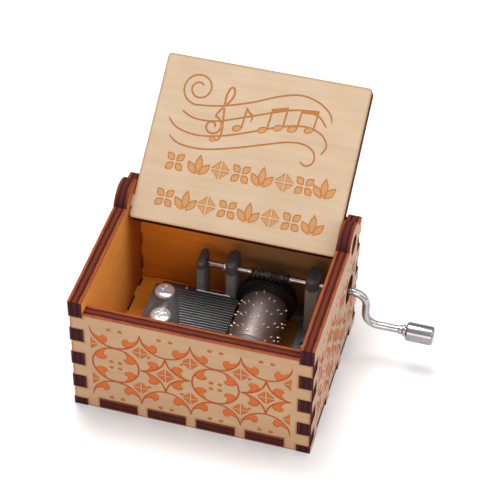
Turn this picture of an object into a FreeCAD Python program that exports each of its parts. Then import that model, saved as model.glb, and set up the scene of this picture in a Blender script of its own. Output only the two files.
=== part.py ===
import FreeCAD, Part
import math
import os
import re
import Sketcher
from FreeCAD import Placement, Rotation, Vector

# Hand-crank music box in laser-cut plywood, millimetres.
# Origin: centre of the underside. +X right (crank side), +Y back, +Z up.
# The lid is modelled open, leaning back on the back wall.

DIMENSIONS = {
    # plywood case
    "case_width": 64, "case_depth": 51, "ply": 3.7,
    "side_height": 38, "front_height": 34, "back_height": 37.15,
    "face_inset": 0.1,       # front and back faces lie this far behind the side walls' finger tips
    "finger_short": 0.3,     # front and back fingers end this far inside the side walls' faces
    "finger_first": 2.4, "finger_pitch": 8.7, "finger_height": 4.35,
    "tab_width": 10.3, "tab_pitch": 13.2,
    # lid and its peg hinge
    "hinge_y": 16.6, "hinge_z": 35.9, "ear_radius": 6, "hinge_hole_radius": 2.7,
    "lid_width": 56.2, "lid_front": 41.7, "lid_rear": 4.6, "lid_corner": 1, "peg_length": 3.4,
    "lid_elevation": 35.2,
    # crank shaft, worm and handle
    "shaft_y": 14, "shaft_z": 21.4, "rod_radius": 1.05, "rod_start": -8.6, "running_gap": 0.05,
    "first_bend": 33.2, "bend_radius": 3.7, "arm_length": 10.5, "rod_end": 54.3,
    "rivet_radius": 1.55, "rivet_thick": 0.5,
    "worm_crest": 1.6, "worm_root": 0.9, "worm_crest_width": 0.22, "worm_root_width": 0.56,
    "worm_turns": 8.5, "worm_turns_before_gear": 3.5,
    "clip_start": -2.2, "clip_thick": 0.7, "clip_radius": 1.6,
    "hole_y": 14.3, "hole_z": 21.9, "crank_hole_radius": 3.95,
    "collar_start": 46.2, "collar_radius": 1.3, "collar_flange": 1.7, "collar_end": 47.9,
    "collar_rim": 0.35, "collar_flare": 0.7, "collar_lead": 0.2, "collar_lead_wall": 0.1,
    "knob_start": 48.2, "knob_end": 55.7, "knob_radius": 2.6, "knob_chamfer": 0.45,
    "knob_bore_end": 54.2, "plug_radius": 1.75, "plug_start": 55.0,
    # cylinder, gear and arbor
    "drum_x": 9.9, "drum_z": 12.2, "drum_front": -6.2, "drum_back": 10.5,
    "drum_radius": 6.45, "drum_wall": 0.5, "cap_thick": 1.2,
    "pin_radius": 0.22, "pin_reach": 6.95,
    "gear_front": 12.3, "gear_back": 15.7, "gear_radius": 8.0, "gear_root": 7.45, "gear_teeth": 40,
    "slot_tip_width": 0.85, "slot_root_width": 0.45, "slot_rise": 0.3, "slot_overrun": 0.2,
    "hub_front": 10.7, "hub_radius": 6.8,
    "arbor_radius": 1.0, "arbor_front": -9.2, "arbor_back": 18.4, "bush_radius": 2.0,
    # comb
    "comb_left": -20.6, "comb_tip": 2.8, "comb_front": -6.14, "comb_back": 10.6,
    "comb_bottom": 11.2, "comb_top": 13.2, "tooth_thick": 0.9, "tooth_pitch": 0.93, "tooth_slot": 0.27,
    "root_back": -14.5, "root_slant": 0.33,
    "weight_front": 4, "weight_back": 1.4, "weight_drop": 1.9, "weight_step": 0.12, "under_tooth_width": 0.5,
    "damper_front": 0.9, "damper_back": 0.4, "damper_drop": 1,
    "dowel_x": -12.1, "dowel_gap": 0.45, "dowel_radius": 0.4, "dowel_rise": 0.2,
    # screws
    "screw_head_radius": 2.8, "screw_head_height": 1.5, "screw_shank_radius": 1.25,
    "rear_screw_x": -17.2, "rear_screw_y": 7.6, "front_screw_x": -15.6, "front_screw_y": -1.4,
    "comb_hole_gap": 0.1, "comb_tap_floor": 1.0, "comb_screw_end": 1.2,
    "dome_height": 0.45, "dome_inset": 0.5, "low_dome_height": 0.3, "low_dome_inset": 0.35,
    "cross_share": 0.58, "cross_half_width": 0.33, "cross_depth": 0.8,
    "mount_screw_radius": 1.1, "mount_head_radius": 2.2, "mount_head_height": 1.5,
    "mount_left_x": -17.5, "mount_rear_y": 14.6, "mount_front_y": -7.7,
    "mount_right_x": 22.1, "mount_right_y": 6,
    "mount_sink": 0.1, "mount_recess_gap": 0.2, "mount_screw_end": 0.3,
    # bedplate and its uprights
    "bed_top": 6.1, "bed_left": -21.2, "bed_right": 24.9, "bed_front": -9.4, "bed_back": 18.8,
    "window_left": -3.5, "window_right": 19.4, "window_front": -6.2, "window_back": 16.0,
    "post_front": 11.2, "post_back": 17.2, "seat_inset": 0.5,
    "seat_overlap": 0.6, "ledge_left": -9.3, "ledge_right": 0, "ledge_gap": 0.2, "ledge_rise": 0.1,
    "left_post_low": -9.3, "left_post_high": -7.3, "middle_post_low": -1.3, "middle_post_high": 1.4,
    "right_post_low": 20.7, "right_post_high": 23.9, "low_cap_top": 23.7, "tall_cap_top": 25.2,
    "cap_front_overhang": 0.6, "cap_back_overhang": 0.4, "thin_cap_overhang": 0.1, "thick_cap_overhang": 0.2,
    "cap_shoulder": 0.55,    # shoulder radius as a share of the cap's height above the shaft
    "front_head_radius": 6.6, "front_head_inset": 1, "front_head_gap": 0.3,
    "rear_head_radius": 3.6, "rear_head_inset": 0.5,
}
TOOTH_COUNT = 18
PIN_COUNT = 84
WEIGHTED_TEETH = 8

doc = FreeCAD.newDocument("music_box")
sheet = doc.addObject("Spreadsheet::Sheet", "dims")
for row, (alias, number) in enumerate(DIMENSIONS.items(), start=1):
    sheet.set(f"A{row}", alias)
    sheet.set(f"B{row}", str(number))
    sheet.setAlias(f"B{row}", alias)
doc.recompute()

SUBPARTS = []


# ---------------------------------------------------------------- helpers

def linked(text):
    """The same formula as another object of the document has to write it."""
    return re.sub(r"[a-z_]+", lambda m: "dims." + m.group() if m.group() in DIMENSIONS else m.group(), text)


def value(text):
    """A formula in the sheet's words, worked out."""
    return float(sheet.evalExpression(text))


def bind(obj, **formulas):
    for prop, text in formulas.items():
        obj.setExpression(prop.replace("__", "."), linked(text))


def part(obj, label):
    """Names a finished sub-part, which is written to a file of that name."""
    obj.Label = label
    SUBPARTS.append(obj)
    return obj


def block(name, x, y, z):
    """A box between two formulas on each axis."""
    obj = doc.addObject("Part::Box", name)
    for side, axis, (low, high) in zip(("Length", "Width", "Height"), "xyz", (x, y, z)):
        obj.setExpression(side, linked(f"({high}) - ({low})"))
        obj.setExpression(f"Placement.Base.{axis}", linked(low))
    return obj


TURN = {
    "x": Rotation(Vector(0, 1, 0), 90),
    "y": Rotation(Vector(1, 0, 0), -90),
    "z": Rotation(),
}


def turned_shape(kind, name, axis, low, high, centre, **radii):
    """A cylinder or cone along an axis; centre gives the two other coordinates in X, Y, Z order."""
    obj = doc.addObject("Part::" + kind, name)
    obj.Placement = Placement(Vector(), TURN[axis])
    bind(obj, Height=f"({high}) - ({low})", **radii)
    places = list(centre)
    for letter in "xyz":
        text = low if letter == axis else places.pop(0)
        obj.setExpression(f"Placement.Base.{letter}", linked(text))
    return obj


def round_bar(name, axis, low, high, radius, centre):
    return turned_shape("Cylinder", name, axis, low, high, centre, Radius=radius)


def cone_bar(name, axis, low, high, radius_low, radius_high, centre):
    return turned_shape("Cone", name, axis, low, high, centre, Radius1=radius_low, Radius2=radius_high)


def fuse(name, *pieces):
    obj = doc.addObject("Part::MultiFuse", name)
    obj.Shapes = list(pieces)
    obj.Refine = True
    return obj


def cut(name, base, *tools):
    obj = doc.addObject("Part::Cut", name)
    obj.Base = base
    obj.Tool = tools[0] if len(tools) == 1 else fuse(name + "_tools", *tools)
    return obj


def group(name, *pieces):
    obj = doc.addObject("Part::Compound", name)
    obj.Links = list(pieces)
    return obj


def new_body(name):
    return doc.addObject("PartDesign::Body", name)


def plane(body, role):
    return next(item for item in body.Origin.OriginFeatures if item.Role == role)


def sketch_on(body, name, role, offset=None):
    sketch = body.newObject("Sketcher::SketchObject", name)
    sketch.AttachmentSupport = (plane(body, role), "")
    sketch.MapMode = "FlatFace"
    if offset is not None:
        sketch.AttachmentOffset = offset
    return sketch


def held(sketch, formula, kind, *where):
    """Adds a measured constraint that follows a formula."""
    index = sketch.addConstraint(Sketcher.Constraint(kind, *where, value(formula)))
    sketch.setExpression(f"Constraints[{index}]", linked(formula))


def hold_point(sketch, edge, end, corner):
    """Ties one point of a sketch's edge to formulas for its two coordinates."""
    for kind, axis_id, text in (("DistanceX", -2, corner[0]), ("DistanceY", -1, corner[1])):
        if text == "0":
            sketch.addConstraint(Sketcher.Constraint("PointOnObject", edge, end, axis_id))
        else:
            held(sketch, text, kind, -1, 1, edge, end)


def outline(body, name, role, corners, offset=None):
    """A closed straight-sided sketch whose corners are pairs of formulas."""
    sketch = sketch_on(body, name, role, offset)
    points = [Vector(value(a), value(b), 0) for a, b in corners]
    count = len(points)
    for index in range(count):
        sketch.addGeometry(Part.LineSegment(points[index], points[(index + 1) % count]), False)
    for index in range(count):
        sketch.addConstraint(Sketcher.Constraint("Coincident", index, 2, (index + 1) % count, 1))
    for index, corner in enumerate(corners):
        hold_point(sketch, index, 1, corner)
    return sketch


def revolve(body, name, corners):
    """Turns an outline of (along X, away from the axis) corners about the X axis."""
    sketch = outline(body, name + "_profile", "XY_Plane", corners)
    feature = body.newObject("PartDesign::Revolution", name)
    feature.Profile = sketch
    feature.ReferenceAxis = (sketch, ["H_Axis"])
    feature.Angle = 360
    body.Tip = feature
    return feature


# ---------------------------------------------------------------- plywood case

INNER_X = "(case_width / 2 - ply)"
OUTER_Y = "(case_depth / 2)"
FACE_Y = "(case_depth / 2 - face_inset)"
INNER_Y = "(case_depth / 2 - face_inset - ply)"
FINGER_COUNT = 4


def finger_span(index):
    low = f"finger_first + {index} * finger_pitch"
    return low, f"{low} + finger_height"


def tab_span(index, count):
    centre = f"{index - (count - 1) / 2} * tab_pitch"
    return f"{centre} - tab_width / 2", f"{centre} + tab_width / 2"


FRONT_TABS, SIDE_TABS = 4, 3


def end_wall(name, sign, height):
    """Front (sign -1) or back (+1) wall: plate, side fingers, notches for the base board's tabs."""
    face, inner = f"{sign} * {FACE_Y}", f"{sign} * {INNER_Y}"
    y = (face, inner) if sign < 0 else (inner, face)
    pieces = [block(name + "_plate", (f"-{INNER_X}", INNER_X), y, ("0", height))]
    for index in range(FINGER_COUNT):
        reach = "case_width / 2 - finger_short"
        pieces.append(block(f"{name}_finger_{index}", (f"-({reach})", reach), y, finger_span(index)))
    notches = [block(f"{name}_notch_{index}", tab_span(index, FRONT_TABS), y, ("0", "ply"))
               for index in range(FRONT_TABS)]
    part(cut(name, fuse(name + "_blank", *pieces), *notches), name)


def side_wall(name, sign, crank_hole):
    """Left (sign -1) or right (+1) wall with its hinge ear; fingers are what the notches leave."""
    face, inner = f"{sign} * case_width / 2", f"{sign} * {INNER_X}"
    x = (face, inner) if sign < 0 else (inner, face)
    plate = block(name + "_plate", x, (f"-{OUTER_Y}", OUTER_Y), ("0", "side_height"))
    ear = round_bar(name + "_ear", "x", *x, "ear_radius", ("hinge_y", "hinge_z"))
    tools = [round_bar(name + "_hinge_hole", "x", *x, "hinge_hole_radius", ("hinge_y", "hinge_z"))]
    for index in range(FINGER_COUNT):
        span = finger_span(index)
        tools.append(block(f"{name}_front_notch_{index}", x, (f"-{OUTER_Y}", f"-{INNER_Y}"), span))
        tools.append(block(f"{name}_back_notch_{index}", x, (INNER_Y, OUTER_Y), span))
    for index in range(SIDE_TABS):
        tools.append(block(f"{name}_base_notch_{index}", x, tab_span(index, SIDE_TABS), ("0", "ply")))
    if crank_hole:
        tools.append(round_bar(name + "_crank_hole", "x", *x, "crank_hole_radius", ("hole_y", "hole_z")))
    part(cut(name, fuse(name + "_blank", plate, ear), *tools), name)


MOUNT_SCREWS = (("mount_left_x", "mount_rear_y"), ("mount_left_x", "mount_front_y"),
                ("mount_right_x", "mount_right_y"))


def base_board():
    """Floor of the case: tabs into all four walls, three counterbored screw holes from below."""
    floor = ("0", "ply")
    pieces = [block("base_plate", (f"-{INNER_X}", INNER_X), (f"-{INNER_Y}", INNER_Y), floor)]
    for index in range(FRONT_TABS):
        pieces.append(block(f"base_tab_y_{index}", tab_span(index, FRONT_TABS), (f"-{FACE_Y}", FACE_Y), floor))
    for index in range(SIDE_TABS):
        reach = "case_width / 2 - finger_short"
        pieces.append(block(f"base_tab_x_{index}", (f"-({reach})", reach), tab_span(index, SIDE_TABS), floor))
    tools = []
    for index, place in enumerate(MOUNT_SCREWS):
        tools.append(round_bar(f"base_hole_{index}", "z", "0", "ply", "mount_screw_radius", place))
        tools.append(round_bar(f"base_recess_{index}", "z", "0", "mount_head_height + mount_sink",
                               "mount_head_radius + mount_recess_gap", place))
    part(cut("base_board", fuse("base_blank", *pieces), *tools), "base_board")


def lid_panel():
    """Lid and its two square hinge pegs, cut from one sheet; drawn shut about the hinge line."""
    body = new_body("lid_body")
    half, peg = "lid_width / 2", "lid_width / 2 + peg_length"
    right = [(half, "-lid_front"), (half, "-ply / 2"), (peg, "-ply / 2"), (peg, "ply / 2"),
             (half, "ply / 2"), (half, "lid_rear")]
    left = [(f"-({x})", y) for x, y in reversed(right)]
    sketch = outline(body, "lid_outline", "XY_Plane", right + left)
    pad = body.newObject("PartDesign::Pad", "lid_sheet")
    pad.Profile = sketch
    pad.Midplane = True
    bind(pad, Length="ply")
    body.Tip = pad
    doc.recompute()
    outer = value("lid_width / 2")
    corners = []
    for index, edge in enumerate(pad.Shape.Edges, start=1):
        ends = [vertex.Point for vertex in edge.Vertexes]
        upright = abs(ends[0].x - ends[1].x) < 1e-6 and abs(ends[0].y - ends[1].y) < 1e-6
        if upright and abs(abs(ends[0].x) - outer) < 1e-6 and abs(ends[0].y) > value("ply"):
            corners.append(f"Edge{index}")
    fillet = body.newObject("PartDesign::Fillet", "lid_corners")
    fillet.Base = (pad, corners)
    bind(fillet, Radius="lid_corner")
    body.Tip = fillet
    open_angle = value("lid_elevation") - 180
    body.Placement = Placement(Vector(), Rotation(Vector(1, 0, 0), open_angle))
    bind(body, Placement__Base__y="hinge_y", Placement__Base__z="hinge_z")
    part(body, "lid_panel")


# ---------------------------------------------------------------- movement: bedplate and bearings

# Uprights that carry the crank shaft: name, low x, high x, cap top, and whether the bore is blind.
UPRIGHTS = (
    ("left", "left_post_low", "left_post_high", "low_cap_top", True),
    ("middle", "middle_post_low", "middle_post_high", "tall_cap_top", False),
    ("right", "right_post_low", "right_post_high", "tall_cap_top", False),
)
SHAFT = ("shaft_y", "shaft_z")
RUNNING_BORE = "rod_radius + running_gap"
DRUM = ("drum_x", "drum_z")
# Round heads that carry the drum's arbor: name, front y, back y, radius.
ARBOR_HEADS = (
    ("front", "bed_front + front_head_inset", "window_front - front_head_gap", "front_head_radius"),
    ("rear", "window_back", "bed_back - rear_head_inset", "rear_head_radius"),
)


def shaft_bore(name, low, high, blind):
    start = "rod_start - 2 * running_gap" if blind else low
    return round_bar(name, "x", start, high, RUNNING_BORE, SHAFT)


def bedplate():
    """Cast frame: floor with a window for the drum, comb seat, five uprights, ledge behind the comb."""
    bed = ("ply", "bed_top")
    pieces = [block("bed_floor", ("bed_left", "bed_right"), ("bed_front", "bed_back"), bed)]
    seat_x = ("comb_left + seat_inset", "root_back + seat_overlap")
    seat_y = ("comb_front + seat_inset", "comb_back - seat_inset")
    pieces.append(block("comb_seat", seat_x, seat_y, ("ply", "comb_bottom")))
    ledge_y = ("comb_back + ledge_gap", "post_front")
    pieces.append(block("comb_ledge", ("ledge_left", "ledge_right"), ledge_y, ("ply", "comb_top + ledge_rise")))
    for name, low, high, _, _ in UPRIGHTS:
        pieces.append(block(name + "_upright", (low, high), ("post_front", "post_back"), ("ply", "shaft_z")))
    for name, low, high, radius in ARBOR_HEADS:
        pieces.append(round_bar(name + "_bearing_head", "y", low, high, radius, DRUM))
        x = (f"drum_x - {radius}", f"drum_x + {radius}")
        pieces.append(block(name + "_bearing_post", x, (low, high), ("ply", "drum_z")))
    window = block("drum_window", ("window_left", "window_right"), ("window_front", "window_back"), bed)
    tools = [window, round_bar("arbor_bore", "y", "bed_front", "bed_back", "bush_radius", DRUM)]
    for name, low, high, _, blind in UPRIGHTS:
        tools.append(shaft_bore(name + "_upright_bore", low, high, blind))
    for index, place in enumerate(COMB_SCREWS):
        tools.append(round_bar(f"comb_tapping_{index}", "z", "bed_top + comb_tap_floor", "comb_bottom",
                               "screw_shank_radius", place))
    for index, place in enumerate(MOUNT_SCREWS):
        tools.append(round_bar(f"mount_tapping_{index}", "z", "ply", "bed_top", "mount_screw_radius", place))
    part(cut("movement_bedplate", fuse("bedplate_casting", *pieces), *tools), "movement_bedplate")


def bearing_cap(name, low, high, top, blind):
    """Keeper over the shaft: a block with rounded shoulders that overhangs its upright."""
    body = new_body(name + "_cap_body")
    front, back = "post_front - cap_front_overhang", "post_back + cap_back_overhang"
    corners = [(front, "shaft_z"), (back, "shaft_z"), (back, top), (front, top)]
    sketch = outline(body, name + "_cap_outline", "YZ_Plane", corners)
    pad = body.newObject("PartDesign::Pad", name + "_cap_block")
    pad.Profile = sketch
    overhang = "thin_cap_overhang" if name == "left" else "thick_cap_overhang"
    bind(pad, Length=f"({high}) - ({low}) + 2 * {overhang}")
    body.Tip = pad
    doc.recompute()
    top_z = value(top)
    shoulders, uprights = [], []
    for index, edge in enumerate(pad.Shape.Edges, start=1):
        ends = [vertex.Point for vertex in edge.Vertexes]
        along = ends[1] - ends[0]
        if abs(along.x) > 1e-6 and abs(ends[0].z - top_z) < 1e-6:
            shoulders.append(f"Edge{index}")
        if abs(along.z) > 1e-6:
            uprights.append(f"Edge{index}")
    shoulder = body.newObject("PartDesign::Fillet", name + "_cap_shoulders")
    shoulder.Base = (pad, shoulders)
    bind(shoulder, Radius=f"({top} - shaft_z) * cap_shoulder")
    body.Tip = shoulder
    bind(body, Placement__Base__x=f"{low} - {overhang}")
    bore = shaft_bore(name + "_cap_bore", f"{low} - {overhang}", f"{high} + {overhang}", blind)
    part(cut(name + "_bearing_cap", body, bore), name + "_bearing_cap")


def arbor_bushes():
    for name, low, high, _ in ARBOR_HEADS:
        sleeve = round_bar(name + "_bush_sleeve", "y", low, high, "bush_radius", DRUM)
        bore = round_bar(name + "_bush_bore", "y", low, high, "arbor_radius + running_gap", DRUM)
        part(cut(f"arbor_{name}_bush", sleeve, bore), f"arbor_{name}_bush")


# ---------------------------------------------------------------- comb

COMB_SCREWS = (("rear_screw_x", "rear_screw_y"), ("front_screw_x", "front_screw_y"))


def comb():
    """Steel comb: thick heel, 18 teeth that shorten towards the front, cut by 17 slots."""
    width = ("comb_front", "comb_back")
    sheet_z = ("comb_top - tooth_thick", "comb_top")
    reed = block("comb_reed", ("comb_left", "comb_tip"), width, sheet_z)
    heel = block("comb_heel", ("comb_left", "root_back"), width, ("comb_bottom", "comb_top - tooth_thick"))
    tools = []
    for index in range(1, TOOTH_COUNT):
        centre = f"comb_back - {index} * tooth_pitch"
        root = f"root_back + {index} * root_slant"
        tools.append(block(f"comb_slot_{index}", (root, "comb_tip"),
                           (f"{centre} - tooth_slot / 2", f"{centre} + tooth_slot / 2"), sheet_z))
    for index, place in enumerate(COMB_SCREWS):
        tools.append(round_bar(f"comb_hole_{index}", "z", "comb_bottom", "comb_top",
                               "screw_shank_radius + comb_hole_gap", place))
    part(cut("comb", fuse("comb_blank", reed, heel), *tools), "comb")


def tooth_centre(index):
    return f"comb_back - {index + 0.5} * tooth_pitch"


def comb_weights_and_dampers():
    """Tuning weights under the long bass teeth and a damper strip under every tip."""
    under = "comb_top - tooth_thick"
    weights, dampers = [], []
    for index in range(TOOTH_COUNT):
        centre = tooth_centre(index)
        y = (f"{centre} - under_tooth_width / 2", f"{centre} + under_tooth_width / 2")
        dampers.append(block(f"damper_{index}", ("comb_tip - damper_front", "comb_tip - damper_back"), y,
                             (f"{under} - damper_drop", under)))
        if index < WEIGHTED_TEETH:
            weights.append(block(f"weight_{index}", ("comb_tip - weight_front", "comb_tip - weight_back"), y,
                                 (f"{under} - weight_drop + {index} * weight_step", under)))
    part(group("comb_weights", *weights), "comb_weights")
    part(group("comb_dampers", *dampers), "comb_dampers")


def cross_head_screw(name, place, head_low, head_high, shank_end, head_radius, shank_radius, sign):
    """Pan-head screw along Z; sign +1 points its head up, -1 down."""
    if sign > 0:
        rim = f"{head_high} - dome_height"
        head = round_bar(name + "_head", "z", head_low, rim, head_radius, place)
        crown_radius = f"{head_radius} - dome_inset"
        dome = cone_bar(name + "_dome", "z", rim, head_high, head_radius, crown_radius, place)
        shank = round_bar(name + "_shank", "z", shank_end, head_low, shank_radius, place)
        recess = (f"{head_high} - cross_depth", head_high)
    else:
        rim = f"{head_low} + low_dome_height"
        head = round_bar(name + "_head", "z", rim, head_high, head_radius, place)
        crown_radius = f"{head_radius} - low_dome_inset"
        dome = cone_bar(name + "_dome", "z", head_low, rim, crown_radius, head_radius, place)
        shank = round_bar(name + "_shank", "z", head_high, shank_end, shank_radius, place)
        recess = (head_low, f"{head_low} + cross_depth")
    long, thin = f"{head_radius} * cross_share", "cross_half_width"
    x, y = place
    bars = []
    for arm, reach_x, reach_y in (("x", long, thin), ("y", thin, long)):
        bars.append(block(f"{name}_cross_{arm}", (f"{x} - {reach_x}", f"{x} + {reach_x}"),
                          (f"{y} - {reach_y}", f"{y} + {reach_y}"), recess))
    return cut(name, fuse(name + "_blank", head, dome, shank), *bars)


def screws():
    comb_set = [cross_head_screw(f"comb_screw_{index}", place, "comb_top", "comb_top + screw_head_height",
                                 "bed_top + comb_screw_end", "screw_head_radius", "screw_shank_radius", 1)
                for index, place in enumerate(COMB_SCREWS)]
    part(group("comb_screws", *comb_set), "comb_screws")
    mount_set = [cross_head_screw(f"mount_screw_{index}", place, "mount_sink", "mount_head_height + mount_sink",
                                  "bed_top - mount_screw_end", "mount_head_radius", "mount_screw_radius", -1)
                 for index, place in enumerate(MOUNT_SCREWS)]
    part(group("bedplate_screws", *mount_set), "bedplate_screws")


def comb_pin():
    """Dowel beside the comb's back edge that sets it square to the drum."""
    part(round_bar("dowel", "z", "bed_top", "comb_top + dowel_rise", "dowel_radius",
                   ("dowel_x", "comb_back + dowel_gap")), "comb_locating_pin")


# ---------------------------------------------------------------- drum

def drum():
    """Barrel with its pins, end caps, resin filling and arbor."""
    bore_radius = "drum_radius - drum_wall"
    tube = round_bar("barrel_outside", "y", "drum_front", "drum_back", "drum_radius", DRUM)
    hollow = round_bar("barrel_inside", "y", "drum_front", "drum_back", bore_radius, DRUM)
    pins = []
    for index in range(PIN_COUNT):
        note = (5 * index + 3 * (index // 7)) % TOOTH_COUNT
        pin = doc.addObject("Part::Cylinder", f"pin_{index}")
        bind(pin, Radius="pin_radius", Height=f"pin_reach - ({bore_radius})")
        turn = Rotation(Vector(0, 1, 0), 360 * index / PIN_COUNT)
        centre = Vector(value("drum_x"), value(tooth_centre(note)), value("drum_z"))
        pin.Placement = Placement(centre + turn.multVec(Vector(0, 0, value(bore_radius))), turn)
        pins.append(pin)
    pin_set = group("drum_pin_set", *pins)
    part(cut("drum_barrel", cut("barrel_tube", tube, hollow), pin_set), "drum_barrel")
    part(pin_set, "drum_pins")
    arbor = round_bar("arbor", "y", "arbor_front", "arbor_back", "arbor_radius", DRUM)
    spans = (("drum_front_cap", "drum_front", "drum_front + cap_thick"),
             ("drum_resin_filling", "drum_front + cap_thick", "drum_back - cap_thick"),
             ("drum_rear_cap", "drum_back - cap_thick", "drum_back"))
    for name, low, high in spans:
        disc = round_bar(name + "_disc", "y", low, high, bore_radius, DRUM)
        bore = round_bar(name + "_bore", "y", low, high, "arbor_radius", DRUM)
        part(cut(name, disc, bore), name)
    part(arbor, "drum_arbor")


# The worm moves the gear on by one tooth a turn, so its pitch is the gear's tooth spacing.
WORM_PITCH = "(pi * (gear_radius + gear_root) / gear_teeth)"


def drum_gear():
    """Moulded gear and hub: forty slanted slots that the worm's thread runs in."""
    body = new_body("gear_body")
    steps = [("hub_front", "arbor_radius"), ("hub_front", "hub_radius"), ("gear_front", "hub_radius"),
             ("gear_front", "gear_radius"), ("gear_back", "gear_radius"), ("gear_back", "arbor_radius")]
    sketch = outline(body, "gear_profile", "XY_Plane", [(radius, along) for along, radius in steps])
    blank = body.newObject("PartDesign::Revolution", "gear_blank")
    blank.Profile = sketch
    blank.ReferenceAxis = (sketch, ["V_Axis"])
    blank.Angle = 360
    body.Tip = blank
    doc.recompute()
    mesh_radius = value("(gear_radius + gear_root) / 2")
    lead = value(WORM_PITCH) / (2 * math.pi * value("(rod_radius + worm_crest) / 2"))
    root, tip, mouth = "slot_root_width / 2", "slot_tip_width / 2", "gear_radius + slot_rise"
    slot = [(f"-{root}", "gear_root"), (root, "gear_root"), (tip, mouth), (f"-{tip}", mouth)]
    ends = []
    for name, place in (("front", "gear_front - slot_overrun"), ("back", "gear_back + slot_overrun")):
        along = value(place)
        turn = math.degrees(lead * (along - value("shaft_y")) / mesh_radius)
        offset = Placement(Vector(0, 0, -along), Rotation(Vector(0, 0, 1), -turn))
        ends.append(outline(body, f"gear_slot_{name}", "XZ_Plane", slot, offset))
    tooth_space = body.newObject("PartDesign::SubtractiveLoft", "tooth_space")
    tooth_space.Profile = ends[0]
    tooth_space.Sections = [ends[1]]
    tooth_space.Ruled = True
    body.Tip = tooth_space
    doc.recompute()
    ring = body.newObject("PartDesign::PolarPattern", "tooth_ring")
    ring.Originals = [tooth_space]
    ring.Axis = (sketch, ["V_Axis"])
    ring.Angle = 360
    bind(ring, Occurrences="gear_teeth")
    body.Tip = ring
    bind(body, Placement__Base__x="drum_x", Placement__Base__z="drum_z")
    part(body, "drum_gear")


# ---------------------------------------------------------------- crank and knob

def rod_path(body):
    """Centre line of the rod seen from the front: shaft, bend, arm, bend, handle."""
    path = sketch_on(body, "rod_path", "XZ_Plane")
    start, first, end = value("rod_start"), value("first_bend"), value("rod_end")
    radius, arm = value("bend_radius"), value("arm_length")
    elbow = first + radius
    normal, quarter = Vector(0, 0, 1), math.pi / 2
    upper = Part.Circle(Vector(first, -radius, 0), normal, radius)
    lower = Part.Circle(Vector(elbow + radius, radius - arm, 0), normal, radius)
    path.addGeometry(Part.LineSegment(Vector(start, 0, 0), Vector(first, 0, 0)), False)
    path.addGeometry(Part.ArcOfCircle(upper, 0, quarter), False)
    path.addGeometry(Part.LineSegment(Vector(elbow, -radius, 0), Vector(elbow, radius - arm, 0)), False)
    path.addGeometry(Part.ArcOfCircle(lower, 2 * quarter, 3 * quarter), False)
    path.addGeometry(Part.LineSegment(Vector(elbow + radius, -arm, 0), Vector(end, -arm, 0)), False)
    for edge, its_end, following, its_start in ((0, 2, 1, 2), (1, 1, 2, 1), (2, 2, 3, 1), (3, 2, 4, 1)):
        path.addConstraint(Sketcher.Constraint("Tangent", edge, its_end, following, its_start))
    path.addConstraint(Sketcher.Constraint("PointOnObject", 0, 1, -1))
    path.addConstraint(Sketcher.Constraint("Horizontal", 0))
    path.addConstraint(Sketcher.Constraint("Vertical", 2))
    path.addConstraint(Sketcher.Constraint("Horizontal", 4))
    held(path, "rod_start", "DistanceX", -1, 1, 0, 1)
    held(path, "first_bend", "DistanceX", -1, 1, 0, 2)
    held(path, "bend_radius", "Radius", 1)
    held(path, "bend_radius", "Radius", 3)
    held(path, "-arm_length", "DistanceY", -1, 1, 4, 2)
    held(path, "rod_end", "DistanceX", -1, 1, 4, 2)
    return path


def disc_sketch(body, name, along, height, radius):
    """A circle across the X axis, straight above or below it."""
    sketch = sketch_on(body, name, "YZ_Plane", Placement(Vector(0, 0, value(along)), Rotation()))
    sketch.setExpression("AttachmentOffset.Base.z", linked(along))
    sketch.addGeometry(Part.Circle(Vector(0, value(height), 0), Vector(0, 0, 1), value(radius)), False)
    hold_point(sketch, 0, 3, ("0", height))
    held(sketch, radius, "Radius", 0)
    return sketch


def crank_rod():
    """One bent rod: shaft, two bends, handle, riveted end, with the worm's thread rolled on it."""
    body = new_body("rod_body")
    path = rod_path(body)
    section = disc_sketch(body, "rod_section", "rod_start", "0", "rod_radius")
    rod = body.newObject("PartDesign::AdditivePipe", "rod")
    rod.Profile = section
    rod.Spine = (path, ["Edge1", "Edge2", "Edge3", "Edge4", "Edge5"])
    rod.Transition = "Transformed"
    body.Tip = rod
    doc.recompute()
    rivet = body.newObject("PartDesign::Pad", "rivet_head")
    rivet.Profile = disc_sketch(body, "rivet_outline", "rod_end", "-arm_length", "rivet_radius")
    bind(rivet, Length="rivet_thick")
    body.Tip = rivet
    doc.recompute()
    thread_start = f"drum_x - worm_turns_before_gear * {WORM_PITCH}"
    ridge = outline(body, "thread_ridge", "XZ_Plane", [
        (f"{thread_start} - worm_root_width / 2", "worm_root"),
        (f"{thread_start} + worm_root_width / 2", "worm_root"),
        (f"{thread_start} + worm_crest_width / 2", "worm_crest"),
        (f"{thread_start} - worm_crest_width / 2", "worm_crest"),
    ])
    thread = body.newObject("PartDesign::AdditiveHelix", "thread")
    thread.Profile = ridge
    thread.ReferenceAxis = (ridge, ["H_Axis"])
    thread.Mode = "pitch-turns-angle"
    bind(thread, Pitch=WORM_PITCH, Turns="worm_turns")
    thread.LeftHanded = False
    body.Tip = thread
    bind(body, Placement__Base__y="shaft_y", Placement__Base__z="shaft_z")
    part(body, "crank_rod")


def turned_on_x(name, label, corners, y, z):
    """A turned sub-part on an axis along X at the given height and depth."""
    body = new_body(name + "_body")
    revolve(body, name, corners)
    bind(body, Placement__Base__y=y, Placement__Base__z=z)
    part(body, label)


HANDLE_Z = "shaft_z - arm_length"


def shaft_clip():
    edge = "clip_start + clip_thick"
    turned_on_x("clip", "shaft_clip", [
        ("clip_start", "rod_radius"), (edge, "rod_radius"),
        (edge, "clip_radius"), ("clip_start", "clip_radius"),
    ], "shaft_y", "shaft_z")


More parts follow.
